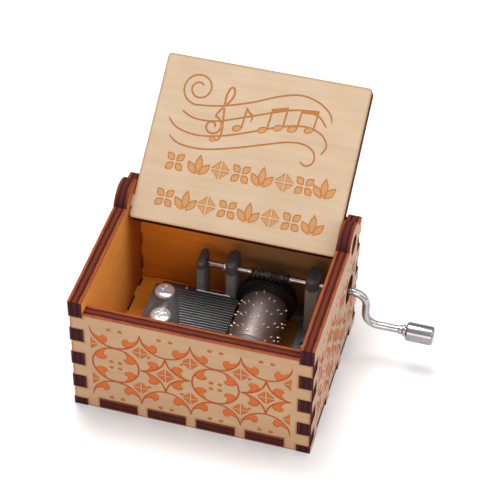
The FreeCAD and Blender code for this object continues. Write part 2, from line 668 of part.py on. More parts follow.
def knob_collar():
    """Flared eyelet pressed on the handle, which keeps the knob from sliding up it."""
    turned_on_x("collar", "knob_collar", [
        ("collar_start", "rod_radius"), ("collar_end", "rod_radius"), ("collar_end", "collar_flange"),
        ("collar_end - collar_rim", "collar_flange"), ("collar_end - collar_flare", "collar_radius"),
        ("collar_start + collar_lead", "collar_radius"), ("collar_start", "rod_radius + collar_lead_wall"),
    ], "shaft_y", HANDLE_Z)


def crank_knob():
    """Barrel knob that spins on the handle: running bore, counterbore over the rivet, plug."""
    turned_on_x("knob", "crank_knob", [
        ("knob_start", RUNNING_BORE), ("knob_bore_end", RUNNING_BORE), ("knob_bore_end", "plug_radius"),
        ("knob_end", "plug_radius"), ("knob_end", "knob_radius - knob_chamfer"),
        ("knob_end - knob_chamfer", "knob_radius"), ("knob_start + knob_chamfer", "knob_radius"),
        ("knob_start", "knob_radius - knob_chamfer"),
    ], "shaft_y", HANDLE_Z)
    plug = round_bar("plug", "x", "plug_start", "knob_end", "plug_radius", ("shaft_y", HANDLE_Z))
    part(plug, "knob_end_plug")


# ---------------------------------------------------------------- build, check, write

end_wall("front_wall", -1, "front_height")
end_wall("back_wall", 1, "back_height")
side_wall("left_wall", -1, False)
side_wall("right_wall", 1, True)
base_board()
lid_panel()
bedplate()
for upright in UPRIGHTS:
    bearing_cap(*upright)
arbor_bushes()
comb()
comb_weights_and_dampers()
screws()
comb_pin()
drum()
drum_gear()
crank_rod()
shaft_clip()
knob_collar()
crank_knob()
doc.recompute()

failed = [obj.Name for obj in doc.Objects if {"Invalid", "Error"} & set(obj.State)]
if failed:
    raise SystemExit(f"objects that did not compute: {failed}")
for obj in SUBPARTS:
    if obj.Shape.isNull() or not obj.Shape.isValid() or not obj.Shape.Solids:
        raise SystemExit(f"bad shape: {obj.Label}")

os.makedirs("parts", exist_ok=True)
for obj in SUBPARTS:
    obj.Shape.exportStep(f"parts/{obj.Label}.step")
    box = obj.Shape.BoundBox
    print(f"{obj.Label:22s} solids {len(obj.Shape.Solids):3d} volume {obj.Shape.Volume:9.2f}"
          f"  x {box.XMin:7.2f} {box.XMax:7.2f}  y {box.YMin:7.2f} {box.YMax:7.2f}"
          f"  z {box.ZMin:7.2f} {box.ZMax:7.2f}")
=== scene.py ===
"""Looks of the hand-crank plywood music box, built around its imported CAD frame."""
import math

import bmesh
import bpy
import numpy as np
from mathutils import Matrix, Vector
from mathutils.geometry import delaunay_2d_cdt


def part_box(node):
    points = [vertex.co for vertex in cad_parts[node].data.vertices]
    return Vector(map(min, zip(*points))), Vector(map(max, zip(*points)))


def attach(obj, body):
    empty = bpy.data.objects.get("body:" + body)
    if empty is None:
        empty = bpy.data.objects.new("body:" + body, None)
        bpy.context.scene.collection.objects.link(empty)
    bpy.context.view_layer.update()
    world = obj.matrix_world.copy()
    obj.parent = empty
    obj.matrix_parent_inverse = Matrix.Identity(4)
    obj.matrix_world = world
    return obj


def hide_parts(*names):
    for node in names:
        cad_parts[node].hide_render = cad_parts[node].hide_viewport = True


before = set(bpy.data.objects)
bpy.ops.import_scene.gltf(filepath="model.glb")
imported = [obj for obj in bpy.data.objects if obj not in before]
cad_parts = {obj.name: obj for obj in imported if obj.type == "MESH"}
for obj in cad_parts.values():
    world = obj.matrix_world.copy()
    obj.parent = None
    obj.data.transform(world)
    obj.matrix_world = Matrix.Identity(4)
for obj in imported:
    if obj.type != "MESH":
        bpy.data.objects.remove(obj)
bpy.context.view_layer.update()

MM = 0.001                      # meshes are built in millimetres and scaled to metres at the end
X, Y, Z = Vector((1, 0, 0)), Vector((0, 1, 0)), Vector((0, 0, 1))
TURN = 2 * math.pi
MATERIALS = {}                  # filled by Shader.finish, under the name that each was made with


def node_box(node):
    """Lowest and highest corner of a CAD node, in millimetres."""
    low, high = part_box(node)
    return low / MM, high / MM


BOARD_LOW, BOARD_HIGH = node_box("base_board")
SHEET = BOARD_HIGH.z - BOARD_LOW.z          # plywood thickness
HALF = SHEET / 2
DRUM_LOW, DRUM_HIGH = node_box("drum_barrel")
DRUM_AXIS = (DRUM_LOW + DRUM_HIGH) / 2
DRUM_RADIUS = (DRUM_HIGH.x - DRUM_LOW.x) / 2
SHAFT = Vector((0, 14.0, 21.4))             # a point on the crank shaft's centre line
HANDLE = Vector((0, 14.0, 10.9))            # a point on the handle's centre line


def in_scene(name, data):
    """A new object of a mesh, lamp or camera, linked to the scene."""
    item = bpy.data.objects.new(name, data)
    bpy.context.scene.collection.objects.link(item)
    return item


def fill_ramp(ramp, stops):
    """Sets a colour ramp's stops, each a place and a colour or a grey level."""
    while len(ramp.elements) < len(stops):
        ramp.elements.new(0.5)
    for element, (position, colour) in zip(ramp.elements, stops):
        element.position = position
        element.color = (*colour, 1) if isinstance(colour, tuple) else (colour, colour, colour, 1)


# ---- shader helpers

class Shader:
    """A material whose nodes are added by short calls that give back an output socket."""

    def __init__(self, name, **surface):
        self.name = name
        self.material = bpy.data.materials.new(name)
        self.material.use_nodes = True
        self.tree = self.material.node_tree
        self.surface = self.tree.nodes["Principled BSDF"].inputs
        for socket, value in surface.items():
            self.feed(self.surface[socket.replace("_", " ")], value)

    def feed(self, socket, value):
        if isinstance(value, bpy.types.NodeSocket):
            self.tree.links.new(value, socket)
        else:
            socket.default_value = value

    def node(self, kind, inputs, output=0, **settings):
        item = self.tree.nodes.new("ShaderNode" + kind)
        for name, value in settings.items():
            setattr(item, name, value)
        for key, value in inputs.items():
            self.feed(item.inputs[key], value)
        return item.outputs[output]

    def stretch(self, vector, scale):
        return self.node("VectorMath", {0: vector, 1: tuple(scale)}, operation="MULTIPLY")

    def frame_place(self, scale=(1, 1, 1)):
        """Where a point is in the frame, in millimetres, stretched by scale."""
        return self.stretch(self.node("TexCoord", {}, "Object"), [s / MM for s in scale])

    place = frame_place

    def along(self, axis, start, end):
        """0 to 1 between two places along an axis of the frame, in millimetres."""
        place = self.node("SeparateXYZ", {0: self.frame_place()}, axis)
        return self.node("MapRange", {"Value": place, "From Min": start, "From Max": end},
                         interpolation_type="SMOOTHSTEP")

    def painted(self, name):
        """A value that the mesh carries under a name."""
        return self.node("Attribute", {}, "Fac", attribute_name=name)

    def noise(self, scale, detail=3.0, roughness=0.55, distortion=0.0):
        """Noise whose grain is one over scale, a number or one per axis, in millimetres."""
        place = self.place(scale if isinstance(scale, tuple) else (scale,) * 3)
        return self.node("TexNoise", {"Vector": place, "Scale": 1.0, "Detail": detail,
                                      "Roughness": roughness, "Distortion": distortion})

    def ramp(self, value, stops):
        item = self.tree.nodes.new("ShaderNodeValToRGB")
        fill_ramp(item.color_ramp, stops)
        self.feed(item.inputs[0], value)
        return item.outputs[0]

    def mix(self, share, first, second):
        item = self.tree.nodes.new("ShaderNodeMix")
        item.data_type = "RGBA"
        for index, value in ((0, share), (6, first), (7, second)):
            self.feed(item.inputs[index], (*value, 1) if isinstance(value, tuple) else value)
        return item.outputs[2]

    def stain(self, base, colour, mask, start, end, share=1.0):
        """The base turned towards a colour, up to a share, while the mask goes from start to end."""
        return self.mix(self.ramp(mask, [(start, 0.0), (end, share)]), base, colour)

    def faded(self, base, fade):
        """The base, or with a fade (axis, start, end, colour) its change to that colour along the axis."""
        if not fade:
            return base
        axis, start, end, colour = fade
        return self.mix(self.along(axis, start, end), base, colour)

    def math(self, operation, first, second):
        return self.node("Math", {0: first, 1: second}, operation=operation)

    def spread(self, value, low, high):
        """A 0 to 1 value moved to low to high."""
        return self.node("MapRange", {"Value": value, "To Min": low, "To Max": high})

    def finish(self, colour, roughness, height=None, depth=0.0, strength=0.5):
        """Joins the outputs to the surface; depth is the bump's full height in millimetres."""
        self.feed(self.surface["Base Color"], colour)
        self.feed(self.surface["Roughness"], roughness)
        if height is not None:
            bump = self.node("Bump", {"Height": height, "Distance": depth * MM, "Strength": strength})
            self.feed(self.surface["Normal"], bump)
        MATERIALS[self.name] = self.material


class SheetShader(Shader):
    """A shader whose places run along, across and through a plywood sheet."""

    def place(self, scale=(1, 1, 1)):
        return self.stretch(self.node("Attribute", {}, "Vector", attribute_name="sheet"), scale)


# ---- kinds of material

def veneer(name, light, dark, pore, smoke, shade_fade=None):
    """Planed face: soft streaks, fine fibres, short pores, blotches, and smoke beside the laser's cuts.

    The last argument, if given, holds an axis, a start, an end and the colour of painted shade that the face
    takes on between them.
    """
    shader = SheetShader(name, Specular_IOR_Level=0.25)
    streak = shader.noise((0.035, 0.55, 1), 5.0, 0.62, 0.4)
    fibre = shader.noise((0.3, 7.0, 1), 4.0, 0.6)
    base = shader.stain(light, dark, streak, 0.3, 0.72)
    base = shader.stain(base, dark, fibre, 0.35, 0.75, 0.35)
    base = shader.stain(base, pore, shader.noise((0.07, 0.11, 1), 2.0), 0.35, 0.75, 0.25)
    base = shader.stain(base, pore, shader.noise((0.55, 5.5, 1), 2.0, 0.5), 0.66, 0.74, 0.4)
    # painted shade: the face fades along an axis to a darker colour, made uneven by the streaks
    if shade_fade:
        *reach, shade_colour = shade_fade
        uneven_shade = shader.mix(shader.math("MULTIPLY", streak, 0.35), shade_colour, base)
        base = shader.faded(base, (*reach, uneven_shade))
    drift = shader.noise((0.8, 0.8, 1), 4.0, 0.6)
    haze = shader.math("MULTIPLY", shader.painted("smoke"), shader.spread(drift, 0.5, 1.25))
    base = shader.stain(base, smoke, haze, 0.12, 0.95)
    shader.finish(base, shader.spread(fibre, 0.55, 0.75), fibre, 0.03)


def laser_edge(name, open_layers, burnt_layers):
    """Laser-cut edge: five plies through the sheet, mixed by the burn value: the laser's burn and, on the
    walls, painted top light.
    """
    shader = SheetShader(name, Specular_IOR_Level=0.08)
    through = shader.node("SeparateXYZ", {0: shader.place()}, 2)
    ripple = shader.noise((0.35, 0.35, 0.5), 4.0, 0.65)
    depth = shader.math("ADD", through, shader.spread(ripple, -0.3, 0.3))
    level = shader.node("MapRange", {"Value": depth, "From Min": -HALF, "From Max": HALF})

    def plies(outer, glue, core):
        return shader.ramp(level, [(0.0, outer), (0.13, outer), (0.25, glue), (0.33, glue), (0.43, core),
                                   (0.57, core), (0.68, glue), (0.77, glue), (0.88, outer), (1.0, outer)])

    soot = shader.noise((0.5, 0.5, 2.2), 4.0, 0.65)
    burn = shader.math("ADD", shader.painted("burn"), shader.spread(soot, -0.3, 0.3))
    colour = shader.mix(burn, plies(*open_layers), plies(*burnt_layers))
    colour = shader.stain(colour, burnt_layers[1], shader.noise((0.25, 0.25, 9.0), 3.0, 0.6), 0.35, 0.8, 0.55)
    kerf = shader.noise((6.0, 6.0, 0.4), 2.0)
    shader.finish(colour, shader.spread(soot, 0.7, 0.95), kerf, 0.06, 0.6)


def scorched(name, light, dark):
    """Engraved or charred floor: uneven burn with the fine lines of the laser's passes."""
    shader = SheetShader(name, Specular_IOR_Level=0.15)
    burn = shader.noise((0.7, 1.6, 1), 4.0, 0.6)
    passes = shader.noise((0.5, 14.0, 1), 2.0)
    share = shader.math("ADD", shader.math("MULTIPLY", burn, 0.8), shader.spread(passes, -0.3, 0.3))
    shader.finish(shader.mix(share, light, dark), shader.spread(burn, 0.6, 0.85), passes, 0.04)


def metal(name, colour, tarnish, roughness, grain, depth=0.006, metallic=1.0, fade=None):
    """Metal whose fine lines follow grain, a stretch per axis, with faint tarnish and uneven gloss."""
    shader = Shader(name, Metallic=metallic)
    lines = shader.noise(grain, 3.0, 0.6)
    cloud = shader.noise(0.35, 4.0, 0.6)
    base = shader.stain(colour, tarnish, cloud, 0.4, 0.7, 0.8)
    base = shader.stain(base, tarnish, shader.noise(2.6, 2.0), 0.62, 0.72, 0.35)
    low, high = roughness
    gloss = shader.spread(shader.math("MULTIPLY", lines, cloud), low, low + (high - low) * 2)
    shader.finish(shader.faded(base, fade), gloss, lines, depth)


def casting(name, colour, worn, metallic=0.55, fade=None):
    """Die-cast zinc: grainy skin, dull with slightly brighter worn patches."""
    shader = Shader(name, Metallic=metallic)
    skin = shader.noise(3.2, 4.0, 0.65)
    base = shader.stain(colour, worn, shader.noise(0.3), 0.42, 0.68)
    base = shader.stain(base, worn, skin, 0.5, 0.72, 0.4)
    shader.finish(shader.faded(base, fade), shader.spread(skin, 0.36, 0.6), skin, 0.03)


def moulded(name, colour, dust, roughness):
    """Moulded plastic or resin: fine orange-peel skin and a little dust."""
    shader = Shader(name, Specular_IOR_Level=0.35)
    cloud = shader.noise(0.8, 4.0)
    base = shader.stain(colour, dust, cloud, 0.5, 0.8, 0.5)
    shader.finish(base, shader.spread(cloud, *roughness), shader.noise(4.0, 2.0), 0.01)


# ---- the materials

veneer("case_face", (0.50, 0.322, 0.185), (0.45, 0.272, 0.147), (0.33, 0.17, 0.08), (0.33, 0.1, 0.03))
veneer("end_face", (0.49, 0.32, 0.22), (0.42, 0.26, 0.17), (0.32, 0.17, 0.11), (0.3, 0.09, 0.05))
# inner faces are painted a deeper, warmer orange than the outer faces to stand for light bounced between the
# walls, and each fades to painted shade: the walls towards the back, under the lid, the floor and the back
# wall towards the right
veneer("case_inside", (0.78, 0.34, 0.07), (0.68, 0.26, 0.041), (0.5, 0.15, 0.018), (0.4, 0.1, 0.015),
       shade_fade=(1, 6, 16, (0.32, 0.045, 0.001)))
veneer("floor_inside", (0.98, 0.42, 0.046), (0.88, 0.33, 0.03), (0.66, 0.19, 0.016), (0.4, 0.1, 0.015),
       shade_fade=(0, 2, 14, (0.1, 0.05, 0.02)))
veneer("back_inside", (0.9, 0.32, 0.03), (0.76, 0.23, 0.018), (0.52, 0.13, 0.01), (0.3, 0.06, 0.008),
       shade_fade=(0, -14, 8, (0.25, 0.15, 0.07)))
veneer("lid_face", (0.515, 0.39, 0.27), (0.46, 0.335, 0.22), (0.36, 0.225, 0.115), (0.36, 0.18, 0.07))
laser_edge("edge", ((0.36, 0.085, 0.025), (0.09, 0.012, 0.004), (0.15, 0.032, 0.014)),
           ((0.048, 0.013, 0.014), (0.024, 0.007, 0.010), (0.04, 0.011, 0.014)))
scorched("case_line", (0.56, 0.135, 0.029), (0.47, 0.1, 0.018))
scorched("case_line_wall", (0.43, 0.078, 0.016), (0.34, 0.05, 0.01))
scorched("lid_line", (0.5, 0.255, 0.1), (0.43, 0.2, 0.07))
scorched("lid_line_wall", (0.4, 0.155, 0.045), (0.33, 0.11, 0.028))
scorched("char", (0.06, 0.018, 0.006), (0.02, 0.006, 0.003))
casting("cast_zinc", (0.12, 0.13, 0.145), (0.18, 0.19, 0.21))
# painted edge highlight: lighter zinc for the bedplate's rounded edges
casting("zinc_edge_highlight", (0.2, 0.215, 0.24), (0.36, 0.38, 0.42))
# painted light: the caps brighten towards the right
casting("zinc_cap", (0.06, 0.06, 0.064), (0.085, 0.085, 0.09), 0.15, (0, 8, 21, (0.08, 0.085, 0.095)))
# a lighter copy of the casting for the uprights, with painted light that brightens towards the right
casting("zinc_post_lit", (0.15, 0.19, 0.205), (0.2, 0.235, 0.25), 0.15, (0, 8, 21, (0.27, 0.31, 0.31)))
# painted highlight for the ledge behind the comb
casting("zinc_ledge_highlight", (0.75, 0.8, 0.92), (0.85, 0.9, 0.98), 0.1)
# painted reflection: the heel at the left keeps a lighter steel and the comb darkens to the teeth's colour
# from x -15 to -10
metal("comb_steel", (0.115, 0.109, 0.107), (0.082, 0.078, 0.077), (0.3, 0.5), (0.25, 9, 9), metallic=0.6,
      fade=(0, -15, -10, (0.05, 0.05, 0.052)))
# painted edge highlight: lighter steel for the comb's rounded edges
metal("comb_edge_highlight", (0.2, 0.2, 0.205), (0.13, 0.13, 0.13), (0.3, 0.45), (0.25, 9, 9))
metal("screw_chrome", (0.84, 0.89, 0.95), (0.7, 0.74, 0.8), (0.1, 0.24), 3, metallic=0.7)
metal("screw_zinc", (0.7, 0.7, 0.68), (0.5, 0.48, 0.42), (0.25, 0.45), 3)
metal("drum_steel", (0.275, 0.216, 0.208), (0.205, 0.155, 0.144), (0.35, 0.5), (0.1, 14, 0.1), 0.004, 0.85)
metal("pin_steel", (0.8, 0.78, 0.75), (0.6, 0.58, 0.55), (0.15, 0.3), 4)
metal("pin_tip", (0.9, 0.84, 0.76), (0.7, 0.64, 0.56), (0.2, 0.35), 4, metallic=0.6)
metal("bush_brass", (0.7, 0.5, 0.2), (0.42, 0.27, 0.1), (0.2, 0.4), 5)
metal("weight_lead", (0.3, 0.3, 0.32), (0.2, 0.2, 0.21), (0.4, 0.6), 4)
metal("nickel_rod", (0.47, 0.45, 0.455), (0.32, 0.29, 0.295), (0.14, 0.26), (0.4, 7, 7), 0.002)
# the worm is near black; its lighter patches from the second colour are painted glints on the thread's crests
metal("worm_thread", (0.02, 0.019, 0.019), (0.2, 0.19, 0.185), (0.4, 0.6), 2, metallic=0.5)
metal("nickel_knob", (0.34, 0.32, 0.34), (0.26, 0.24, 0.26), (0.16, 0.3), (12, 0.3, 0.3), 0.003)
moulded("black_plastic", (0.006, 0.0065, 0.008), (0.01, 0.011, 0.015), (0.42, 0.6))
moulded("damper_plastic", (0.72, 0.7, 0.62), (0.6, 0.57, 0.48), (0.4, 0.6))
moulded("resin", (0.3, 0.14, 0.03), (0.22, 0.1, 0.03), (0.15, 0.3))


# ---- mesh helpers

CREASE = math.radians(35)       # edges sharper than this stay sharp in the shading
WELD = 1e-4                     # points closer than this become one
QUARTER = [math.pi / 2 * k / 8 for k in range(9)]      # a quarter turn in eight steps


def show(name, mesh, body, node, materials):
    """Turns a millimetre mesh into a shown piece that rides on a body and stands for a CAD node."""
    mesh.transform(Matrix.Scale(MM, 4))
    mesh.shade_smooth()
    mesh.set_sharp_from_angle(angle=CREASE)
    for key in materials:
        mesh.materials.append(MATERIALS[key])
    piece = in_scene(name, mesh)
    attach(piece, body)
    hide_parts(node)


def mesh_of(bm, name, recalculate=True):
    """The bmesh as a mesh, its faces turned outwards if asked."""
    mesh = bpy.data.meshes.new(name)
    if recalculate:
        bmesh.ops.recalc_face_normals(bm, faces=bm.faces)
    bm.to_mesh(mesh)
    bm.free()
    return mesh


def with_modifiers(mesh, *settings):
    """The mesh after a stack of modifiers, each a (type, {property: value}) pair."""
    helper = in_scene("helper", mesh)
    for kind, values in settings:
        modifier = helper.modifiers.new(kind, kind)
        for key, value in values.items():
            setattr(modifier, key, value)
    shaped = bpy.data.meshes.new_from_object(helper.evaluated_get(bpy.context.evaluated_depsgraph_get()))
    bpy.data.objects.remove(helper)
    return shaped


def rounding(width, segments=2, angle=30, material=-1):
    return ("BEVEL", {"width": width, "segments": segments, "limit_method": "ANGLE",
                      "angle_limit": math.radians(angle), "material": material})


def carved(mesh, cutter_mesh, rounds, **settings):
    """The mesh with a cutter taken out of it and its edges then rounded."""
    cutter = in_scene("cutter", cutter_mesh)
    values = {"operation": "DIFFERENCE", "object": cutter, "solver": "EXACT", **settings}
    shaped = with_modifiers(mesh, ("BOOLEAN", values), rounds)
    bpy.data.objects.remove(cutter)
    return shaped


def cad_mesh(node):
    """A CAD node's mesh in millimetres, welded, its flat faces made whole."""
    bm = bmesh.new()
    bm.from_mesh(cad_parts[node].data)
    bmesh.ops.scale(bm, vec=(1 / MM,) * 3, verts=bm.verts)
    bmesh.ops.remove_doubles(bm, verts=bm.verts, dist=0.002)
    bmesh.ops.dissolve_limit(bm, angle_limit=math.radians(0.6), verts=bm.verts, edges=bm.edges)
    return mesh_of(bm, node)


def softened(name, node, body, slot, width, edge_highlight=None):
    """A piece of a CAD node's own shape with its edges rounded, the rounds given a lighter material as a
    painted edge highlight if one is named.
    """
    mesh = cad_mesh(node)
    for key in (slot, edge_highlight or slot):
        mesh.materials.append(MATERIALS[key])
    mesh = with_modifiers(mesh, rounding(width, material=1 if edge_highlight else -1))
    show(name, mesh, body, node, [])


def ring_of(bm, centre, first, second, radii):
    """A closed row of vertices at the given radii about a centre, spanned by two unit vectors."""
    turns = [TURN * k / len(radii) for k in range(len(radii))]
    return [bm.verts.new(centre + first * radius * math.cos(turn) + second * radius * math.sin(turn))
            for radius, turn in zip(radii, turns)]


def bridge(bm, ring, following):
    count = len(ring)
    for k in range(count):
        bm.faces.new((ring[k], ring[(k + 1) % count], following[(k + 1) % count], following[k]))


def skin(bm, rings):
    """Closes a stack of rings into a solid."""
    for ring, following in zip(rings, rings[1:]):
        bridge(bm, ring, following)
    bm.faces.new(rings[0])
    bm.faces.new(rings[-1])


def lathe(bm, origin, axis, profile, count=64):
    """Turns (along, radius) pairs about an axis; an end with radius 0 closes in a point."""
    first = axis.orthogonal().normalized()
    second = axis.cross(first)
    previous = None
    for along, radius in profile:
        centre = origin + axis * along
        row = ring_of(bm, centre, first, second, [radius] * count) if radius else bm.verts.new(centre)
        if isinstance(previous, list) and isinstance(row, list):
            bridge(bm, previous, row)
        elif previous is not None:
            tip, ring = (previous, row) if isinstance(row, list) else (row, previous)
            for k in range(count):
                bm.faces.new((tip, ring[k], ring[(k + 1) % count]))
        previous = row


def softened_profile(corners, fillet, steps=3):
    """A lathe profile with every inner corner rounded by a small curve."""
    points = [corners[0]]
    for before, corner, after in zip(corners, corners[1:], corners[2:]):
        here = Vector(corner)
        back, ahead = Vector(before) - here, Vector(after) - here
        reach = min(fillet, back.length * 0.45, ahead.length * 0.45)
        start, end = here + back.normalized() * reach, here + ahead.normalized() * reach
        for k in range(steps + 1):
            t = k / steps
            points.append(tuple((1 - t) ** 2 * start + 2 * t * (1 - t) * here + t * t * end))
    return points + [corners[-1]]


def turned(name, node, body, slot, start, axis, profile, count):
    """A piece that is one profile turned about an axis from a starting point."""
    bm = bmesh.new()
    lathe(bm, start, axis, profile, count)
    bmesh.ops.remove_doubles(bm, verts=bm.verts, dist=WELD)
    show(name, mesh_of(bm, name), body, node, [slot])


# ---- plywood sheets with engraved faces

CHAMFER = 0.05           # how far the laser rounds a sheet's edge
ENGRAVED_DEPTH = 0.06
GLUE_GROOVE = 0.035
SMOKE_WIDTH = 0.75       # how far smoke stains a face beside a cut


class Sheet:
    """A plywood sheet on its own axes: along and up on the decorated side, out of it, from its middle."""

    def __init__(self, node, along, up):
        low, high = node_box(node)
        self.node = node
        self.matrix = Matrix((along, up, along.cross(up))).transposed().to_4x4()
        self.matrix.translation = (low + high) / 2
        self.loops = self.read_outline()

    def local(self, *place):
        """A point of the frame on the sheet's own axes."""
        return self.matrix.inverted() @ Vector(place)

    def read_outline(self):
        """Outer loop and holes of the decorated side; it also moves the origin to the sheet's middle."""
        inverse = self.matrix.inverted()
        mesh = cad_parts[self.node].data
        points = [inverse @ (v.co / MM) for v in mesh.vertices]
        top = max(p.z for p in points)
        self.matrix.translation = self.matrix @ Vector((0, 0, top - HALF))
        edges = {}
        for polygon in mesh.polygons:
            corners = [points[index] for index in polygon.vertices]
            if min(c.z for c in corners) < top - 0.01:
                continue
            keys = [(round(c.x, 3), round(c.y, 3)) for c in corners]
            for start, end in zip(keys, keys[1:] + keys[:1]):
                if not edges.pop((end, start), False):
                    edges[start, end] = True
        follow = dict(edges.keys())
        loops = []
        while follow:
            start, here = next(iter(follow.items()))
            del follow[start]
            loop = [start]
            while here != start:
                loop.append(here)
                here = follow.pop(here)
            loops.append(straightened(loop))
        return loops


def straightened(loop):
    """A loop without the points that lie on a straight run."""
    kept = []
    for k, (x, y) in enumerate(loop):
        (ax, ay), (bx, by) = loop[k - 1], loop[(k + 1) % len(loop)]
        bend = (x - ax) * (by - y) - (y - ay) * (bx - x)
        if abs(bend) > 1e-3 * math.hypot(x - ax, y - ay) * math.hypot(bx - x, by - y):
            kept.append((x, y))
    return kept


def shrunk(loop, distance):
    """The loop moved into the sheet by a distance, its corners kept sharp."""
    moved_loop = []
    for k, point in enumerate(loop):
        before = Vector(point) - Vector(loop[k - 1])
        after = Vector(loop[(k + 1) % len(loop)]) - Vector(point)
        first = Vector((-before.y, before.x)).normalized()
        second = Vector((-after.y, after.x)).normalized()
        step = (first + second) * distance / (1 + first.dot(second))
        moved_loop.append((point[0] + step.x, point[1] + step.y))
    return moved_loop


def inside(points, outline):
    """Which of the points lie inside an outline, by counting crossings."""
    x, y = points[:, 0], points[:, 1]
    result = np.zeros(len(points), bool)
    corners = np.array(outline)
    for (ax, ay), (bx, by) in zip(corners, np.roll(corners, -1, axis=0)):
        if ay != by:
            crossing = (ay > y) != (by > y)
            result ^= crossing & (x < (bx - ax) * (y - ay) / (by - ay) + ax)
    return result


def cut_face(loops, strokes):
    """Triangles of a face with stroke outlines cut into it, and each triangle's stroke kind or -1."""
    points, edges = [], []
    rings = [shrunk(loop, SMOKE_WIDTH) for loop in loops]
    for outline in loops + rings + [stroke for stroke, _ in strokes]:
        start, count = len(points), len(outline)
        points += [Vector(p) for p in outline]
        edges += [(start + k, start + (k + 1) % count) for k in range(count)]
    corners, _, triangles = delaunay_2d_cdt(points, edges, [], 0, 1e-5)[:3]
    corners = np.array([tuple(c) for c in corners])
    triangles = np.array([tuple(t) for t in triangles])
    centres = corners[triangles].mean(axis=1)
    in_sheet = np.zeros(len(centres), bool)
    for loop in loops:
        in_sheet ^= inside(centres, loop)
    kinds = np.full(len(centres), -1)
    for outline, kind in strokes:
        low, high = np.min(outline, axis=0), np.max(outline, axis=0)
        near = np.flatnonzero(((centres > low) & (centres < high)).all(axis=1))
        kinds[near[inside(centres[near], outline)]] = kind
    return corners, triangles[in_sheet], kinds[in_sheet]


# material order of every sheet
FRONT, BACK, EDGE, LINE, LINE_WALL, CHAR = range(6)


def add_face(bm, loops, strokes, side, face_material):
    """One side of a sheet with its strokes sunk into it; side is +1 for the decorated side."""
    corners, triangles, kinds = cut_face(loops, strokes)
    smoke = bm.verts.layers.float["smoke"]
    cut_corners = sum(len(loop) for loop in loops)
    made = {}

    def vertex(index, level):
        if (index, level) not in made:
            x, y = corners[index]
            made[index, level] = bm.verts.new((x, y, side * (HALF - level * ENGRAVED_DEPTH)))
            made[index, level][smoke] = float(index < cut_corners)
        return made[index, level]

    owners = {}
    for triangle, kind in zip(triangles, kinds):
        sunk = int(kind >= 0)
        face = bm.faces.new([vertex(index, sunk) for index in triangle][::side])
        face.material_index = int(kind) if sunk else face_material
        for k in range(3):
            a, b = int(triangle[k]), int(triangle[(k + 1) % 3])
            owners.setdefault((min(a, b), max(a, b)), []).append(int(kind))
    for (a, b), found in owners.items():
        sunk = [kind for kind in found if kind >= 0]
        if sunk and (len(sunk) < len(found) or len(found) == 1):
            wall = bm.faces.new((vertex(a, 0), vertex(b, 0), vertex(b, 1), vertex(a, 1)))
            wall.material_index = LINE_WALL if sunk[0] == LINE else CHAR


def add_rim(bm, loops):
    """The laser-cut edge: a tiny round at both faces and a shallow groove along each glue line."""
    smoke = bm.verts.layers.float["smoke"]
    glue = HALF * 0.4
    steps = [(HALF, CHAMFER), (HALF - CHAMFER, 0.0), (glue + 0.12, 0.0), (glue, GLUE_GROOVE),
             (glue - 0.12, 0.0)]
    steps += [(-level, inset) for level, inset in reversed(steps)]
    for loop in loops:
        rings = []
        for level, inset in steps:
            rings.append([bm.verts.new((x, y, level)) for x, y in shrunk(loop, inset)])
            for vertex in rings[-1]:
                vertex[smoke] = 1.0
        for ring, following in zip(rings, rings[1:]):
            for k in range(len(ring)):
                ahead = (k + 1) % len(ring)
                face = bm.faces.new((ring[k], following[k], following[ahead], ring[ahead]))
                face.material_index = EDGE


def rim_burn_and_top_light(face, top_open, burn):
    """How dark a rim face's plies are: the laser's burn, with painted top light that makes a wall's straight
    top lightest, then curved tops, then sides.
    """
    if top_open is None:
        return burn
    # painted top light: upward-facing rim faces of a wall get lighter, less burnt plies
    if face.normal.y > 0.99 and abs(face.calc_center_median().y - top_open) < 0.1:
        return 0.08
    curved = min(abs(face.normal.x), abs(face.normal.y)) > 0.02
    return burn - 0.4 * max(0.0, face.normal.y) if curved else burn


def build_sheet(sheet, body, faces, strokes=(), back_strokes=(), top_open=None, burn=0.92, seed=0):
    """A finished plywood sheet; faces names the materials of its decorated and its plain side."""
    bm = bmesh.new()
    bm.verts.layers.float.new("smoke")
    inner = [shrunk(loop, CHAMFER) for loop in sheet.loops]
    add_face(bm, inner, list(strokes), 1, FRONT)
    add_face(bm, inner, list(back_strokes), -1, BACK)
    add_rim(bm, sheet.loops)
    bmesh.ops.remove_doubles(bm, verts=bm.verts, dist=WELD)
    bm.normal_update()
    rim_burn_and_light = [rim_burn_and_top_light(face, top_open, burn) for face in bm.faces]
    name = sheet.node + "_sheet"
    mesh = mesh_of(bm, name, recalculate=False)
    shift = Vector((37.0 * seed, 23.0 * seed, 0))
    where = mesh.attributes.new("sheet", "FLOAT_VECTOR", "POINT")
    where.data.foreach_set("vector", [c for v in mesh.vertices for c in v.co + shift])
    mesh.attributes.new("burn", "FLOAT", "FACE").data.foreach_set("value", rim_burn_and_light)
    mesh.transform(sheet.matrix)
    show(name, mesh, body, sheet.node,
         [*faces, "edge", body + "_line", body + "_line_wall", "char"])


# ---- ornament: (outline, how far in its lighter filling starts or 0) pairs, in millimetres

def ribbon(points, width, taper=0.0):
    """Outline of a line of a given width; taper is the share of each end that narrows to a tip."""
    points = [Vector(p) for p in points]
    last = len(points) - 1
    left, right = [], []
    for k, point in enumerate(points):
        along = points[min(k + 1, last)] - points[max(k - 1, 0)]
        normal = Vector((-along.y, along.x)).normalized()
        share = min(k, last - k) / last
        half = width / 2 * (min(1.0, 0.25 + share / taper) if taper else 1.0)
        left.append(tuple(point + normal * half))
        right.append(tuple(point - normal * half))
    return right + left[::-1], 0


